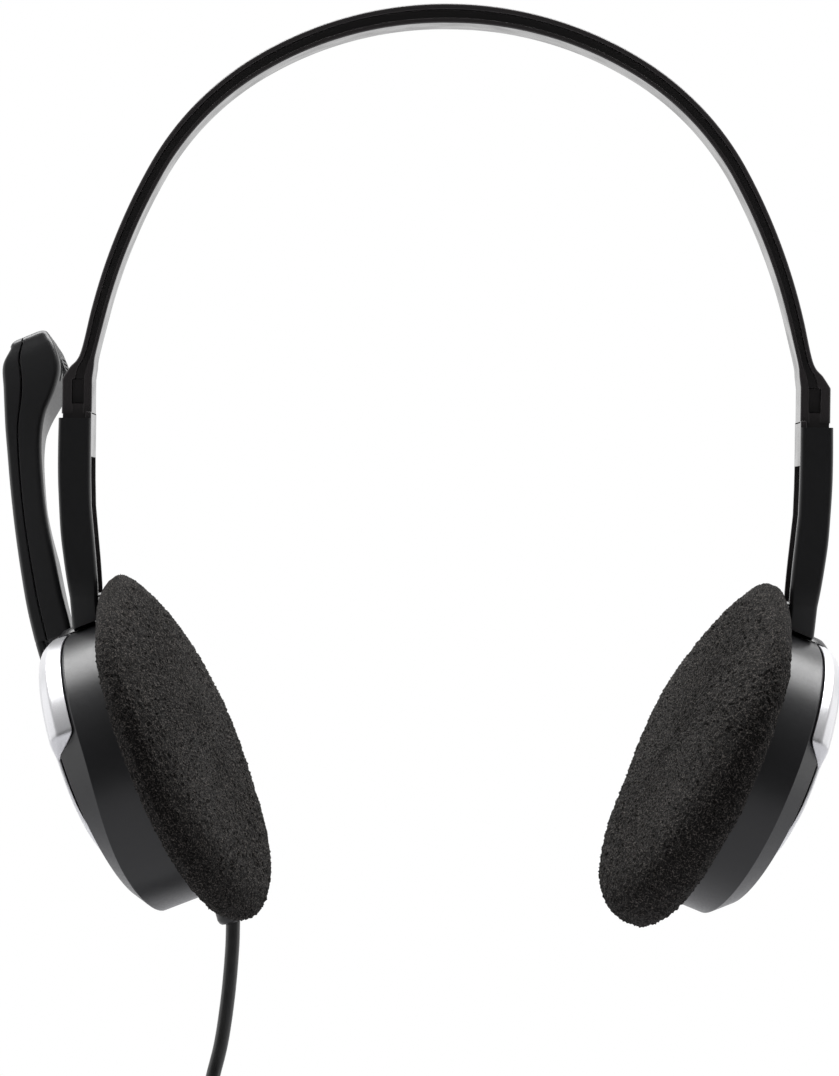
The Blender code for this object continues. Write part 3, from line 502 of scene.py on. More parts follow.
def object_noise(tree, size, detail=3.0):
    """A noise texture in the piece's own space. size is the size of its features, in millimetres."""
    place = tree.nodes.new("ShaderNodeTexCoord")
    texture = add_node(tree, "ShaderNodeTexNoise", Scale=1 / (size * MM), Detail=detail)
    tree.links.new(place.outputs["Object"], texture.inputs["Vector"])
    return texture


def add_grain(material, size, depth, strength=0.5):
    """Fine moulded texture as bump."""
    tree = material.node_tree
    texture = object_noise(tree, size)
    bump = add_node(tree, "ShaderNodeBump", Strength=strength, Distance=depth * MM)
    tree.links.new(texture.outputs["Fac"], bump.inputs["Height"])
    tree.links.new(bump.outputs["Normal"], tree.nodes["Principled BSDF"].inputs["Normal"])


def vary(material, socket, size, low, high):
    """Lets a value wander between two limits over the surface."""
    tree = material.node_tree
    texture = object_noise(tree, size)
    spread = add_node(tree, "ShaderNodeMapRange", From_Min=0.35, From_Max=0.65, To_Min=low, To_Max=high)
    tree.links.new(texture.outputs["Fac"], spread.inputs["Value"])
    tree.links.new(spread.outputs["Result"], tree.nodes["Principled BSDF"].inputs[socket])


def vary_colour(material, size, dark, light):
    tree = material.node_tree
    texture = object_noise(tree, size)
    ramp = tree.nodes.new("ShaderNodeValToRGB")
    ramp.color_ramp.elements[0].position = 0.35
    ramp.color_ramp.elements[1].position = 0.65
    ramp.color_ramp.elements[0].color = (*dark, 1)
    ramp.color_ramp.elements[1].color = (*light, 1)
    tree.links.new(texture.outputs["Fac"], ramp.inputs["Fac"])
    tree.links.new(ramp.outputs["Color"], tree.nodes["Principled BSDF"].inputs["Base Color"])


def band_plastic():
    made = new_material("band_plastic", (0.034, 0.030, 0.031), 0.2)
    vary(made, "Roughness", 6.0, 0.15, 0.25)
    add_grain(made, 0.5, 0.0015, 0.2)
    return made


def moulded_plastic():
    made = new_material("moulded_plastic", (0.0105, 0.0105, 0.0115), 0.32)
    vary(made, "Roughness", 0.5, 0.29, 0.35)
    add_grain(made, 0.22, 0.003, 0.2)
    return made


def spark_plastic():
    made = new_material("spark_plastic", (0.01, 0.01, 0.0115), 0.32)
    vary(made, "Roughness", 0.4, 0.29, 0.37)
    add_grain(made, 0.35, 0.011, 0.35)
    return made


def silver_paint():
    made = new_material("silver_paint", (0.72, 0.72, 0.74), 0.3, metallic=0.75)
    vary_colour(made, 0.12, (0.69, 0.69, 0.71), (0.76, 0.76, 0.78))
    add_grain(made, 0.15, 0.004, 0.3)
    return made


def foam():
    """Open-cell foam: struts round pores, each warped by noise. The foam is black; noise lifts some struts to
    pale as painted glints, and the pores are painted darker still as painted shade in the cells.
    """
    made = new_material("foam", (0.02, 0.02, 0.02), 0.95)
    tree = made.node_tree
    shader = tree.nodes["Principled BSDF"]
    shader.inputs["Specular IOR Level"].default_value = 0.25
    warp = object_noise(tree, 0.8, 2.0)
    place = tree.nodes.new("ShaderNodeTexCoord")
    mix = add_node(tree, "ShaderNodeVectorMath")
    mix.operation = "MULTIPLY_ADD"
    mix.inputs[1].default_value = (0.0007,) * 3
    tree.links.new(warp.outputs["Color"], mix.inputs[0])
    tree.links.new(place.outputs["Object"], mix.inputs[2])
    cells = add_node(tree, "ShaderNodeTexVoronoi", Scale=1 / (0.42 * MM))
    cells.feature = "DISTANCE_TO_EDGE"
    tree.links.new(mix.outputs["Vector"], cells.inputs["Vector"])
    strut = add_node(tree, "ShaderNodeMapRange", From_Min=0.0, From_Max=0.16, To_Min=1.0, To_Max=0.0)
    tree.links.new(cells.outputs["Distance"], strut.inputs["Value"])
    # Painted highlight: this noise picks the struts that are painted pale as glints.
    glint = object_noise(tree, 0.35, 1.0)
    bright = add_node(tree, "ShaderNodeMapRange", From_Min=0.45, From_Max=0.7, To_Min=0.05, To_Max=1.0)
    tree.links.new(glint.outputs["Fac"], bright.inputs["Value"])
    level = add_node(tree, "ShaderNodeMath")
    level.operation = "MULTIPLY"
    tree.links.new(strut.outputs["Result"], level.inputs[0])
    tree.links.new(bright.outputs["Result"], level.inputs[1])
    # Painted light in the base colour: glinting struts pale as painted highlight, pores near black as painted
    # shade in the cells.
    ramp = tree.nodes.new("ShaderNodeValToRGB")
    ramp.color_ramp.elements[0].color = (0.003, 0.0026, 0.0024, 1)
    ramp.color_ramp.elements[1].color = (0.112, 0.1, 0.092, 1)
    tree.links.new(level.outputs["Value"], ramp.inputs["Fac"])
    tree.links.new(ramp.outputs["Color"], shader.inputs["Base Color"])
    bump = add_node(tree, "ShaderNodeBump", Strength=1.0, Distance=0.15 * MM)
    bump.invert = True
    tree.links.new(cells.outputs["Distance"], bump.inputs["Height"])
    tree.links.new(bump.outputs["Normal"], shader.inputs["Normal"])
    return made


def cord_rubber():
    made = new_material("cord_rubber", (0.012, 0.012, 0.012), 0.33)
    vary(made, "Roughness", 1.5, 0.28, 0.4)
    add_grain(made, 0.35, 0.01, 0.3)
    return made


def steel():
    made = new_material("steel", (0.55, 0.55, 0.56), 0.3, metallic=1.0)
    vary(made, "Roughness", 0.3, 0.22, 0.38)
    return made


def gold():
    made = new_material("gold_plate", (0.83, 0.62, 0.26), 0.18, metallic=1.0)
    vary(made, "Roughness", 1.0, 0.14, 0.24)
    return made


def copper():
    made = new_material("copper_wire", (0.75, 0.36, 0.18), 0.3, metallic=1.0)
    vary(made, "Roughness", 0.2, 0.22, 0.4)
    return made


def film():
    made = new_material("film", (0.72, 0.70, 0.60), 0.25)
    vary(made, "Roughness", 1.0, 0.2, 0.35)
    return made


# Places


def cup_matrix(side, inset=0.0):
    """The cup's frame, from the boom's hinge on the left cup's axis and mirrored for the right cup."""
    hinge = JOINTS["boom_turn"]
    place = Vector(hinge["pos_m"])
    outwards = Vector(hinge["axis"]).normalized()
    if side > 0:
        place.x, outwards.x = -place.x, -outwards.x
    up = (Vector((0, 0, 1)) - outwards * outwards.z).normalized()
    turn = Matrix((up.cross(outwards), up, outwards)).transposed().to_4x4()
    return Matrix.Translation(place - outwards * inset * MM) @ turn


# Headband


def band_stations():
    """Outer x and z, inward direction, thickness, wall depths and groove depth, from the crown to one end."""
    stations = []
    x, z, heading = 0.0, BAND_CROWN_THICKNESS, 0.0
    whole = math.radians(sum(angle for _, angle in BAND_ARCS))

    def station():
        share = heading / whole
        thickness = BAND_CROWN_THICKNESS + (BAND_END_THICKNESS - BAND_CROWN_THICKNESS) * share
        inwards = (-math.sin(heading), -math.cos(heading))
        walls = (BAND_OUTER_RIM * thickness, (1 - BAND_INNER_RIM) * thickness)
        return (x, z, *inwards, thickness, *walls, BAND_GROOVE_DEPTH)

    stations.append(station())
    for radius, angle in BAND_ARCS:
        steps = round(angle / BAND_STEP)
        turn = math.radians(angle) / steps
        for _ in range(steps):
            x += 2 * radius * math.sin(turn / 2) * math.cos(heading + turn / 2)
            z -= 2 * radius * math.sin(turn / 2) * math.sin(heading + turn / 2)
            heading += turn
            stations.append(station())
    ends = []
    for height, inner, outer, wall_in, wall_out, groove in BAND_END_STATIONS:
        ends.append((outer, height, -1.0, 0.0, outer - inner, outer - wall_out, outer - wall_in, groove))
    joining = [stations[-4], stations[-1], *ends[:3]]
    route = [np.array(s) for s in joining]
    padded = [2 * route[0] - route[1], *route, 2 * route[-1] - route[-2]]
    for k in range(1, len(route) - 1):
        for t in np.arange(0.1, 1.01, 0.1):
            stations.append(tuple(between(*padded[k : k + 4], t)))
    return stations + ends[3:]


def band_ring(side, station):
    x, z, in_x, in_z, thickness, wall_out, wall_in, groove = station
    length = math.hypot(in_x, in_z)
    half = BAND_HALF_DEPTH
    floor = half - groove
    outline = filleted(
        (
            (thickness, -half, 0.3),
            (wall_in, -half, 0.12),
            (wall_in, -floor, 0.1),
            (wall_out, -floor, 0.1),
            (wall_out, -half, 0.12),
            (0.0, -half, 0.4),
            (0.0, half, 0.4),
            (wall_out, half, 0.12),
            (wall_out, floor, 0.1),
            (wall_in, floor, 0.1),
            (wall_in, half, 0.12),
            (thickness, half, 0.3),
        ),
        3,
    )
    return [(side * (x + d * in_x / length), y, z + d * in_z / length) for d, y in outline]


def headband(plastic, rubber):
    """The band, the dark collar under each of its ends, and the second cup's wire in its groove."""
    half = band_stations()
    rings = [band_ring(-1, station) for station in reversed(half)]
    rings += [band_ring(1, station) for station in half[1:]]
    x, wide, deep, bottom, top = BAND_POCKET
    pockets = [block((s * x - wide, -deep, bottom), (s * x + wide, deep, top)) for s in (-1, 1)]
    band = shaped(skin(rings), pockets)
    band.set_sharp_from_angle(angle=SHARP_ANGLE)
    piece("headband_moulding", band, plastic, "band", replaces=["headband"])
    bottom, inner, outer, half_depth = BAND_COLLAR
    middle, half_width = (inner + outer) / 2, (outer - inner) / 2
    for s, name in ((-1, "left"), (1, "right")):
        low = (s * middle - half_width, -half_depth, bottom)
        collar = block(low, (s * middle + half_width, half_depth, BAND_COLLAR_TOP))
        piece(name + "_band_stop", collar, plastic, "band")
    y = BAND_HALF_DEPTH - BAND_GROOVE_DEPTH + WIRE_GAP + WIRE_DIAMETER / 2
    right = []
    for x, z, in_x, in_z, _, wall_out, wall_in, _ in half[:-WIRE_STATIONS_SHORT]:
        depth = (wall_out + wall_in) / 2
        right.append((x + depth * in_x, y, z + depth * in_z))
    line = [(-px, py, pz) for px, py, pz in reversed(right[1:])] + right
    wire = tube_curve("second_cup_wire", line, WIRE_DIAMETER, 3)
    finish_curve(wire, rubber, "band", ["crossover_wire"])


# Arms


def inner_face(z):
    """The X of the arm's inner face at a height."""
    heights = [s[0] for s in ARM_STATIONS][::-1]
    faces = [s[1] for s in ARM_STATIONS][::-1]
    return float(np.interp(z, heights, faces))


def rectangle(inner, outer, half_depth, corner):
    return filleted(
        (
            (inner, -half_depth, corner),
            (outer, -half_depth, corner),
            (outer, half_depth, corner),
            (inner, half_depth, corner),
        )
    )


def loft_blocks(side, sections):
    """A plain loft of level rectangles (height, near, far, half depth)."""
    rings = []
    for z, near, far, half in sections:
        corners = ((near, -half), (far, -half), (far, half), (near, half))
        rings.append([(side * x, y, z) for x, y in corners])
    return skin(rings)


def arm(side, name, plastic):
    """The arm's outer moulding: a recess for its plate, a sleeve for the tongue and a hollow for the ball."""
    rings = []
    for z, inner, outer, half_depth in fine_stations(ARM_STATIONS, 5):
        rings.append([(side * x, y, z) for x, y in rectangle(inner, outer, half_depth, ARM_CORNER)])
    inner, outer, half_depth = FOOT_SECTION
    foot = []
    for x, y in rectangle(inner, outer, half_depth, ARM_CORNER):
        foot.append((side * x, y, FOOT_BOTTOM_AT_INNER + FOOT_BOTTOM_SLOPE * (x - inner)))
    rings.append(foot)
    recess = []
    for z in (ABOVE_ARM, *np.arange(-69.0, PLATE_BOTTOM, -2.0), PLATE_BOTTOM - RECESS_BELOW):
        face = inner_face(z)
        recess.append((z, face - 4, face + PLATE_THICKNESS + RECESS_GAP, RECESS_HALF_DEPTH))
    sleeve = []
    for z in (ABOVE_ARM, SLEEVE_FLOOR):
        x = SLIDE_TOP[0] + (z - SLIDE_TOP[1]) * math.tan(SLIDE_LEAN)
        sleeve.append((z, x - 6, x + SLEEVE_HALF_THICKNESS, SLEEVE_HALF_DEPTH))
    hollow = ball(HOLLOW_RADIUS)
    hollow.transform(Matrix.Translation(Vector((side * BALL[0], *BALL[1:])) * MM))
    cutters = [loft_blocks(side, recess), loft_blocks(side, sleeve), hollow]
    shell = shaped(skin(rings), cutters, bevel=0.16)
    replaced = [name + "_arm_shell"]
    piece(name + "_arm_moulding", shell, plastic, name + "_arm", replaces=replaced)


def arm_plate(side, name, plastic):
    rings = []
    for z in (PLATE_TOP, *np.arange(-69.0, PLATE_BOTTOM, -1.5), PLATE_BOTTOM):
        near = inner_face(z)
        half = PLATE_HALF_DEPTH
        outline = filleted(
            (
                (near, -half, 0.25),
                (near + PLATE_THICKNESS, -half, 0.1),
                (near + PLATE_THICKNESS, half, 0.1),
                (near, half, 0.25),
            ),
            3,
        )
        rings.append([(side * x, y, z) for x, y in outline])
    slot = block(
        (side * PLATE_MIDDLE - 6, -PLATE_SLOT_HALF_DEPTH, PLATE_SLOT_BOTTOM),
        (side * PLATE_MIDDLE + 6, PLATE_SLOT_HALF_DEPTH, PLATE_SLOT_TOP),
    )
    plate = shaped(skin(rings), [slot], bevel=0.12)
    replaced = [name + "_arm_inner_plate"]
    piece(name + "_arm_plate", plate, plastic, name + "_arm", replaces=replaced)


# Cups


def housing(name, matrix, plastic):
    """A cup's round shell, with its bevelled back and an opening for the stud."""
    inside = WALL_RADIUS - HOUSING_WALL
    high, low = SEAM[name]
    rings = []
    for i in range(224):
        turn = math.tau * i / 224
        seam = high + (low - high) * float(smoothstep(*SEAM_SPAN, WALL_RADIUS * math.sin(turn)))
        outline = (
            (HOUSING_HOLE, BACK, 0.1),
            (HOUSING_BACK_RADIUS, BACK, 0.3),
            (WALL_RADIUS, seam, 0.22),
            (WALL_RADIUS, WALL_FRONT, 0.2),
            (inside, WALL_FRONT, 0.2),
            (inside, seam - 0.6, 0.4),
            (21.5, BACK - 1.6, 0.4),
            (HOUSING_HOLE, BACK - 1.6, 0.1),
        )
        rings.append([(r * math.cos(turn), r * math.sin(turn), h) for r, h in filleted(outline)])
    wide, (start, end) = STUD_OPENING_HALF_WIDTH, STUD_OPENING_SPAN
    opening = block((-wide, start, STUD_OPENING_FROM + SHELL_INSET[name]), (wide, end, high + 0.3))
    shell = shaped(skin(rings, wrap_rows=True), [opening])
    shell.set_sharp_from_angle(angle=SHARP_ANGLE)
    replaced = [name + "_cup_housing"]
    piece(name + "_cup_shell", shell, plastic, name + "_cup", matrix, replaced)


def joint_boss(side, name, matrix, plastic):
    """The round boss on top of the housing that fills the hollow of the arm's foot."""
    outline = [(BOSS_HOLE, BOSS_ROOT, 0)]
    start, end = math.asin(BOSS_HOLE / BOSS_RADIUS), math.acos(BOSS_ROOT / BOSS_RADIUS)
    for a in np.linspace(start, end, 9):
        outline.append((BOSS_RADIUS * math.sin(a), BOSS_RADIUS * math.cos(a), 0))
    place = Matrix.Translation(Vector((side * BALL[0], *BALL[1:])) * MM)
    place @= matrix.to_3x3().to_4x4() @ Matrix.Rotation(-math.pi / 2, 4, "X")
    piece(name + "_joint_boss", turned(outline, 96, 1), plastic, name + "_cup", place)


def cover_section(wrap, edge, shrink):
    """The cover's section where it wraps the bevelled back (1), ends as a flat plateau (0), or in between."""
    wrapped = (
        (22.7, COVER_TOP, 1.2),
        (24.5, COVER_TOP - 0.65, 1.6),
        (WALL_RADIUS + 0.05, 14.0, 1.6),
        (WALL_RADIUS, edge, 0.15),
        (22.4, COVER_BOTTOM, 0.2),
    )
    rim = COVER_PLATEAU_RADIUS - shrink
    plateau = (
        (rim - 1.3, COVER_TOP, 0.4),
        (rim - 0.7, COVER_TOP - 0.05, 0.4),
        (rim - 0.15, COVER_TOP - 0.3, 0.3),
        (rim, COVER_BOTTOM + 0.1, 0.1),
        (rim - 1.4, COVER_BOTTOM, 0.2),
    )
    section = [(WELL_RADIUS, COVER_BOTTOM, 0.05), (WELL_RADIUS, COVER_TOP, 0.25)]
    for a, b in zip(plateau, wrapped):
        section.append(tuple(p + (q - p) * wrap for p, q in zip(a, b)))
    return filleted(section, 5)


def cover(name, matrix, paint):
    steps = 360
    edge = SEAM[name][0] + 0.32
    rings = []
    for i in range(steps):
        turn = math.tau * i / steps
        up = WALL_RADIUS * math.sin(turn)
        wrap = float(smoothstep(*COVER_NOTCH_UP, up))
        most, start, end = COVER_LOW_SHRINK
        shrink = most * float(smoothstep(start, end, up))
        section = cover_section(wrap, edge, shrink)
        rings.append([(r * math.cos(turn), r * math.sin(turn), h) for r, h in section])
    mesh = skin(rings, wrap_rows=True)
    replaced = [name + "_cup_cover"]
    piece(name + "_cover_shell", mesh, paint, name + "_cup", matrix, replaced)


def disc_mesh(cutters=()):
    outline = (
        (0.0, DISC_TOP, 0.0),
        (DISC_RADIUS - 0.9, DISC_TOP, 0.6),
        (DISC_RADIUS - 0.1, DISC_TOP - 0.7, 0.6),
        (DISC_RADIUS, DISC_BOTTOM, 0.1),
        (DISC_RADIUS - 0.9, DISC_BOTTOM, 0.1),
        (DISC_RADIUS - 0.9, DISC_TOP - 0.8, 0.1),
        (0.0, DISC_TOP - 0.8, 0.0),
    )
    return shaped(turned(outline, 192), cutters)


def pressed(points, middle, top, bottom):
    """Moves a pad's front inwards, and less and less towards its rear."""
    start, end = PAD_PRESSED_FROM
    up = points[..., 1]
    push = middle + top * smoothstep(start, end, up) + bottom * smoothstep(start, end, -up)
    share = smoothstep(2.0, -4.0, points[..., 2])
    points[..., 2] += push * share


def pad_mesh(name, seed):
    """A foam pad: a turned cushion with soft dents, a seam round its rim and a rough open-cell surface."""
    line = np.array([(p.x, p.y) for p in smooth_line([(r, w, 0) for r, w in PAD_PROFILE[:14]], 500)])
    run = np.concatenate([[0], np.cumsum(np.linalg.norm(np.diff(line, axis=0), axis=1))])
    even = np.linspace(0, run[-1], round(run[-1] / PAD_STEP) + 1)
    outside = np.stack([np.interp(even, run, line[:, k]) for k in range(2)], axis=1)
    profile = np.vstack([outside, PAD_PROFILE[14:]])
    steps = round(math.tau * PAD_RADIUS / PAD_STEP)
    points = spun(profile, steps)
    slope = np.gradient(profile, axis=0)
    normals = np.stack([-slope[:, 1], slope[:, 0]], axis=1)
    normals /= np.linalg.norm(normals, axis=1, keepdims=True)
    angles = np.arange(steps) * math.tau / steps
    turned_normals = np.stack(
        [
            normals[:, 0:1] * np.cos(angles),
            normals[:, 0:1] * np.sin(angles),
            np.repeat(normals[:, 1:2], steps, axis=1),
        ],
        axis=-1,
    )
    offset = Vector((seed * 17.3, 0, 0))
    shown = len(outside)
    seam_height, seam_width, seam_depth = PAD_SEAM
    fuzz = np.random.default_rng(seed).uniform(-1, 1, points.shape[:2]) ** 3
    moved = points.copy()
    for i in range(shown):
        fade = float(smoothstep(0, 3, shown - i))
        radius, height = outside[i]
        seam = math.exp(-(((height - seam_height) / seam_width) ** 2)) if radius > 29 else 0.0
        for j in range(steps):
            p = Vector(points[i, j]) + offset
            soft = 0.1 * noise.noise(p * 0.11) + 0.06 * noise.noise(p * 0.4)
            spike = 0.22 * min(1.0, (radius / 20) ** 2) * fuzz[i, j]
            rough = 0.14 * noise.noise(p * 1.3) + 0.3 * noise.noise(p * 2.9) + spike
            calm = float(smoothstep(16, 25, points[i, j, 1]) * smoothstep(-1.5, 1.5, height))
            depth = (soft + rough) * fade * (1 - 0.7 * calm)
            depth -= seam_depth * seam * (0.55 + 0.45 * math.cos(angles[j] * 2 + 1.0 + seed))
            moved[i, j] += turned_normals[i, j] * depth
            moved[i, j, 2] -= PAD_CLEAR * calm
    pressed(moved[:shown], *PAD_PRESSED[name])
    return skin(moved, caps=False)


def ear_pad(name, matrix, material, seed):
    mesh = pad_mesh(name, seed)
    body, replaced = name + "_cup", [name + "_ear_pad"]
    pad = piece(name + "_foam_pad", mesh, material, body, matrix, replaced, flat_normals=False)


# Boom


def boom_section(inner, outer, half, low, high, slant):
    """A section of the boom from its share low to its share high. Its inner face may slant."""
    near = inner + (outer - inner) * low
    far = inner + (outer - inner) * high
    near_corner = BOOM_CORNER if low == 0 else BOOM_SEAM_CORNER
    far_corner = BOOM_CORNER if high == 1 else BOOM_SEAM_CORNER
    return filleted(
        (
            (near + slant, -half, near_corner),
            (far, -half, far_corner),
            (far, half, far_corner),
            (near, half, near_corner),
        ),
        5,
    )


def boom_half(stations, low, high, round_end):
    """A loft along the boom between two shares of its thickness, with a rounded end."""
    fine = fine_stations(stations, 6)
    rings = []

    def ring(station, along, inset):
        s, inner, outer, half = station
        inner, outer = inner + inset, outer - inset
        slant = float(np.interp(s, *BOOM_SLANTS)) if round_end and low == 0 else 0.0
        outline = boom_section(inner, outer, half - inset, low, high, slant)
        rings.append([(y, s + along, w) for w, y in outline])

    for station in fine:
        ring(station, 0, 0)
    for degrees in (90, 70, 50, 30, 12):
        a = math.radians(degrees)
        ring(fine[-1], round_end * math.cos(a), round_end * (1 - math.sin(a)))
    return skin(rings)


def boom(matrix, plastic, paint):
    """The boom's two mouldings, its neck over the cup's cover, and its hub with a cap."""
    place = matrix @ Matrix.Rotation(BOOM_LEAN, 4, "Z")
    start, end = GRILLE_SPAN
    slots = []
    for offset in GRILLE_OFFSETS:
        low = (offset - GRILLE_SLOT / 2, start, -6.0)
        slots.append(block(low, (offset + GRILLE_SLOT / 2, end, GRILLE_FLOOR)))
    radius, top = BOOM_HOLLOW
    hollow = turned(((0.0, 5.0, 0.0), (radius, 5.0, 0.0), (radius, top, 0.0), (0.0, top, 0.0)), 160, 1)
    inner = boom_half((BOOM_INNER_ROOT, *BOOM_STATIONS), 0.0, BOOM_SPLIT - BOOM_SEAM_SHARE, BOOM_TIP_ROUND)
    inner = shaped(inner, [hollow, *slots])
    piece("boom_inner_moulding", inner, plastic, "boom", place, ["boom_inner_shell"])
    outer = boom_half((BOOM_ROOT, *BOOM_STATIONS), BOOM_SPLIT + BOOM_SEAM_SHARE, 1.0, BOOM_TIP_ROUND)
    piece("boom_lid", outer, plastic, "boom", place, ["boom_outer_shell"])
    neck = boom_half(BOOM_NECK, 0.0, 1.0, 0)
    piece("boom_neck", neck, plastic, "boom", place)
    hub = (
        (0.0, HUB_TOP, 0.0),
        (HUB_RADIUS, HUB_TOP, 0.2),
        (HUB_RADIUS, HUB_BOTTOM, 0.2),
        (0.0, HUB_BOTTOM, 0.0),
    )
    piece("boom_hub_plate", turned(hub, 128), plastic, "boom", place)
    cap = disc_mesh([block(*CAP_NOTCH)])
    piece("boom_cap_disc", cap, paint, "boom", place, ["boom_hub_cap"])


# Cord


def tube_curve(name, line, diameter, resolution):
    curve = bpy.data.curves.new(name, "CURVE")
    curve.dimensions = "3D"
    curve.bevel_depth = diameter / 2 * MM
    curve.bevel_resolution = resolution
    curve.use_fill_caps = True
    spline = curve.splines.new("POLY")
    spline.points.add(len(line) - 1)
    for point, place in zip(spline.points, line):
        point.co = (*(Vector(place) * MM), 1)
    spline.use_smooth = True
    obj = bpy.data.objects.new(name, curve)
    bpy.context.scene.collection.objects.link(obj)
    return obj


def finish_curve(obj, material, body, replaces):
    obj.data.materials.append(material)
    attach(obj, body)
    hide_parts(*replaces)


def coil_line():
    """The cord's turns, each shifting to its neighbour's place near the top of the coil."""
    x, y, z = COIL_CENTRE
    line = []
    for i in range(round((len(COIL_WINDING) - 0.5) * COIL_STEPS) + 1):
        turns = i / COIL_STEPS
        k = min(int(turns), len(COIL_WINDING) - 1)
        here = COIL_WINDING[k]
        there = COIL_WINDING[min(k + 1, len(COIL_WINDING) - 1)]
        move = float(smoothstep(1 - COIL_SHIFT, 1, turns - k))
        layer = here[0] + (there[0] - here[0]) * move
        across = here[1] + (there[1] - here[1]) * move
        radius = COIL_MEAN_RADIUS + layer * COIL_LAYER * COIL_PITCH
        angle = math.tau * turns
        line.append((x + radius * math.sin(angle), y + across * COIL_PITCH, z + radius * math.cos(angle)))
    return line


def cord_line():
    """The whole cord: down from the cup, round its coil and down to the plug."""
    turns = coil_line()
    first, last = Vector(turns[0]), Vector(turns[-1])
    entry = []
    leave = []
    for k in range(8):
        a = math.radians(90) * k / 8
        entry.append(first + Vector((-COIL_BEND * math.cos(a), 0, COIL_BEND * (1 - math.sin(a)))))
        b = math.radians(90) * (k + 1) / 8
        leave.append(last + Vector((-COIL_BEND * math.sin(b), 0, -COIL_BEND * (1 - math.cos(b)))))
    down = smooth_line([*CORD_ROUTE, tuple(entry[0])], 34)
    tail = smooth_line([tuple(leave[-1]), *TAIL_ROUTE], 10)
    return [*down, *entry[1:], *turns, *leave[:-1], *tail]


def ring_round(centre, direction, radius, count=40):
    side = direction.cross(Vector((0, 1, 0))).normalized()
    other = direction.cross(side).normalized()
    turns = [math.tau * i / count for i in range(count)]
    return [centre + radius * (math.cos(a) * side + math.sin(a) * other) for a in turns]


def strain_relief(rubber):
    line = smooth_line(RELIEF_ROUTE, RELIEF_STEPS + 1)
    rings = []
    for share, radius in RELIEF_SHAPE:
        k = round(share * RELIEF_STEPS)
        direction = (line[min(k + 1, RELIEF_STEPS)] - line[max(k - 1, 0)]).normalized()
        rings.append(ring_round(line[k], direction, radius))
    relief = shaped(skin(rings), bevel=0.12)
    return piece("cord_collar", relief, rubber, "left_cup", replaces=["strain_relief"])


def plug(rubber, metal):
    """The plug's ribbed grip, its pin and the rings between the pin's contacts."""
    place = Matrix.Translation(Vector(PLUG_TOP) * MM)
    body = [(0, 0, 0), (1.6, 0, 0.3), (2.0, -2.6, 0.2)]
    for k in range(3):
        h = -2.6 - 0.9 * k
        rib, waist = 2.2 + 0.2 * k, 1.8 + 0.2 * k
        body += [(rib, h - 0.1, 0.1), (rib, h - 0.5, 0.1), (waist, h - 0.55, 0.05), (waist, h - 0.85, 0.05)]
    body += [(3.2, -5.6, 0.5), (4.0, -7.5, 0.8), (4.0, -21.0, 0.5), (0, -21.0, 0)]
    grip = piece("plug_grip", turned(body, 64), rubber, "left_cup", place, ["plug_body"])
    top = PLUG_PIN_TOP
    pin = [(0, top, 0), (2.6, top, 0.15), (2.6, top - 1, 0.15), (1.75, top - 1.0, 0)]
    pin += [(1.75, top - 11.2, 0.3), (1.2, top - 12.2, 0.3), (1.7, top - 13.0, 0.3), (0.5, top - 14.0, 0.3)]
    pin += [(0, top - 14.0, 0)]
    contact = piece("plug_contacts", turned(pin, 48), metal, "left_cup", place, ["plug_pin"])
    rings = []
    for k, depth in enumerate((4.4, 8.0, 10.4), 1):
        ring = [(1.5, top - depth, 0), (1.79, top - depth, 0.05)]
        ring += [(1.79, top - depth - 0.5, 0.05), (1.5, top - depth - 0.5, 0)]
        mesh = turned(ring, 48)
        rings.append(piece(f"plug_insulator_{k}", mesh, rubber, "left_cup", place))
    return [grip, contact, *rings]


def tie(rubber):
    """The strap round the top of the coil."""
    x, y, z = COIL_CENTRE
    strap = ((6.9, 3.0, 0.2), (7.7, 3.0, 0.3), (7.7, -3.0, 0.3), (6.9, -3.0, 0.2))
    place = Matrix.Translation(Vector((x, y, z + COIL_MEAN_RADIUS)) * MM)
    place @= Matrix.Rotation(math.pi / 2, 4, "Y")
    return piece("cord_strap", turned(strap, 64), rubber, "left_cup", place, ["cord_tie"])


def cord(rubber, metal):
    curve = tube_curve("audio_cord", cord_line(), CORD_DIAMETER, 4)
    finish_curve(curve, rubber, "left_cup", ["cord", "cord_coil", "cord_tail"])
    pieces = [strain_relief(rubber), tie(rubber), *plug(rubber, metal)]


# Studio


def camera():
    data = bpy.data.cameras.new("camera")
    data.lens = CAMERA_LENS
    data.clip_end = 100.0
    made = bpy.data.objects.new("camera", data)
    made.location = Vector(CAMERA_PLACE) * MM
    made.rotation_euler = (math.pi / 2, CAMERA_ROLL, 0)
    bpy.context.scene.collection.objects.link(made)
    bpy.context.scene.camera = made


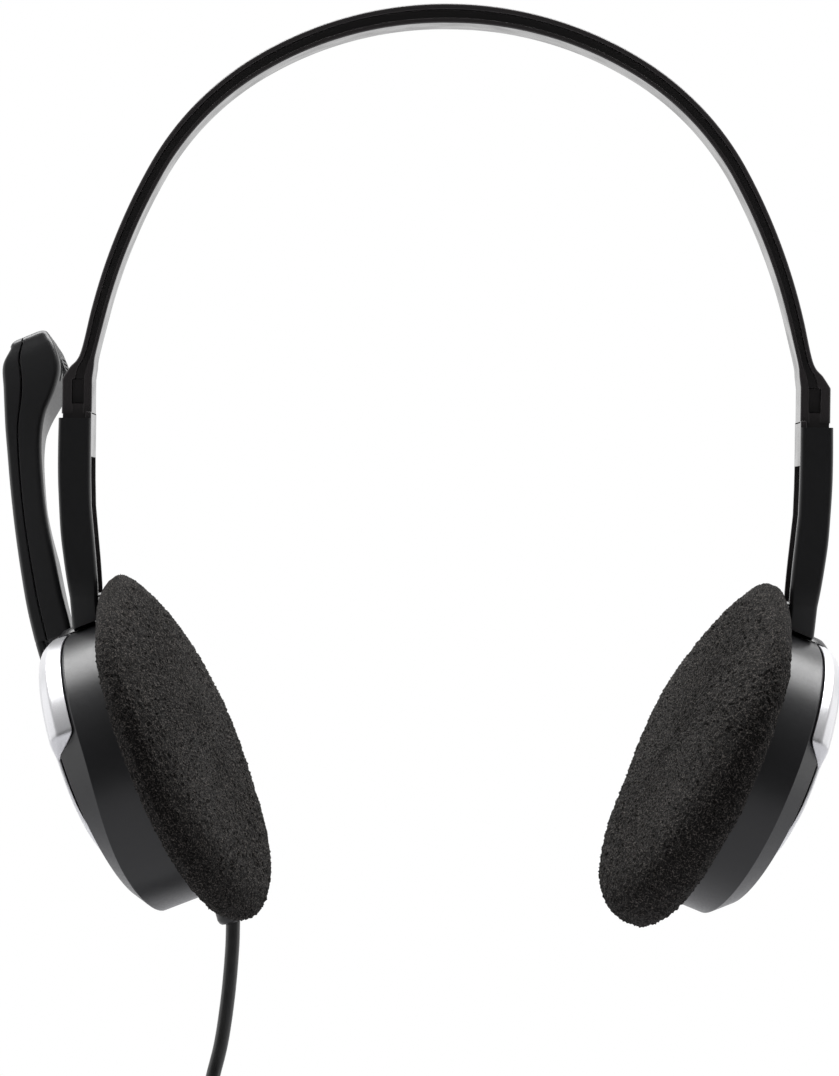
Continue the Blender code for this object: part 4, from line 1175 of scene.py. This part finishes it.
def world():
    """White to the camera. Its light is bright beyond the object and dim on the photographer's side."""
    made = bpy.data.worlds.new("studio")
    bpy.context.scene.world = made
    made.use_nodes = True
    tree = made.node_tree
    background = tree.nodes["Background"]
    place = tree.nodes.new("ShaderNodeTexCoord")
    split = tree.nodes.new("ShaderNodeSeparateXYZ")
    tree.links.new(place.outputs["Generated"], split.inputs["Vector"])
    span = add_node(tree, "ShaderNodeMapRange", From_Min=-1.0, From_Max=1.0)
    tree.links.new(split.outputs["Y"], span.inputs["Value"])
    ramp = tree.nodes.new("ShaderNodeValToRGB")
    stops = ramp.color_ramp.elements
    stops.new(0.5)
    stops.new(0.5)
    for stop, (place_y, level) in zip(stops, WORLD_STOPS):
        stop.position = (place_y + 1) / 2
        stop.color = (level, level, level, 1)
    tree.links.new(span.outputs["Result"], ramp.inputs["Fac"])
    rays = tree.nodes.new("ShaderNodeLightPath")
    strength = tree.nodes.new("ShaderNodeMix")
    tree.links.new(rays.outputs["Is Camera Ray"], strength.inputs["Factor"])
    tree.links.new(ramp.outputs["Color"], strength.inputs["A"])
    strength.inputs["B"].default_value = 1.0
    tree.links.new(strength.outputs["Result"], background.inputs["Strength"])
    background.inputs["Color"].default_value = (1, 1, 1, 1)


def soft_box(name, place, width, height, radiance):
    data = bpy.data.lights.new(name, "AREA")
    data.shape = "RECTANGLE"
    data.size = width
    data.size_y = height
    data.energy = radiance * math.pi * width * height
    made = bpy.data.objects.new(name, data)
    made.location = place
    made.rotation_euler = (Vector(BOX_AIM) - Vector(place)).to_track_quat("-Z", "Y").to_euler()
    bpy.context.scene.collection.objects.link(made)


def floor():
    """A plain pale floor under the object."""
    mesh = block(*FLOOR)
    made = bpy.data.objects.new("floor", mesh)
    bpy.context.scene.collection.objects.link(made)
    mesh.materials.append(new_material("floor_white", (0.35, 0.35, 0.36), 0.9))


def finish_cad_nodes(materials):
    """Gives every carried-over CAD node its procedural material."""
    slots = {entry["node"]: entry["material_slot"] for entry in frame["record"]["subparts"]}
    for name, obj in frame["nodes"].items():
        obj.data.materials.clear()
        obj.data.materials.append(materials[slots[name]])


def main():
    camera()
    world()
    for name, box in SOFT_BOXES.items():
        soft_box(name, *box)
    floor()
    black, shell, gloss = moulded_plastic(), spark_plastic(), band_plastic()
    paint, foam_material, rubber = silver_paint(), foam(), cord_rubber()
    metal, contacts = steel(), gold()
    finish_cad_nodes(
        {
            "black_shell": black,
            "silver_paint": paint,
            "foam": foam_material,
            "steel": metal,
            "cord_rubber": rubber,
            "copper": copper(),
            "gold": contacts,
            "film": film(),
        }
    )
    cord(rubber, contacts)
    headband(gloss, rubber)
    for side, name in ((-1, "left"), (1, "right")):
        arm(side, name, black)
        arm_plate(side, name, gloss)
        matrix = cup_matrix(side, SHELL_INSET[name])
        housing(name, matrix, shell)
        joint_boss(side, name, matrix, shell)
        cover(name, matrix, paint)
        ear_pad(name, cup_matrix(side, PAD_INSET), foam_material, 1 + side)
        if side > 0:
            replaced = ["right_cover_disc"]
            piece("right_disc", disc_mesh(), paint, "right_cup", matrix, replaced)
        else:
            boom(matrix, black, paint)
    scene = bpy.context.scene
    scene.view_settings.view_transform = "Standard"


main()
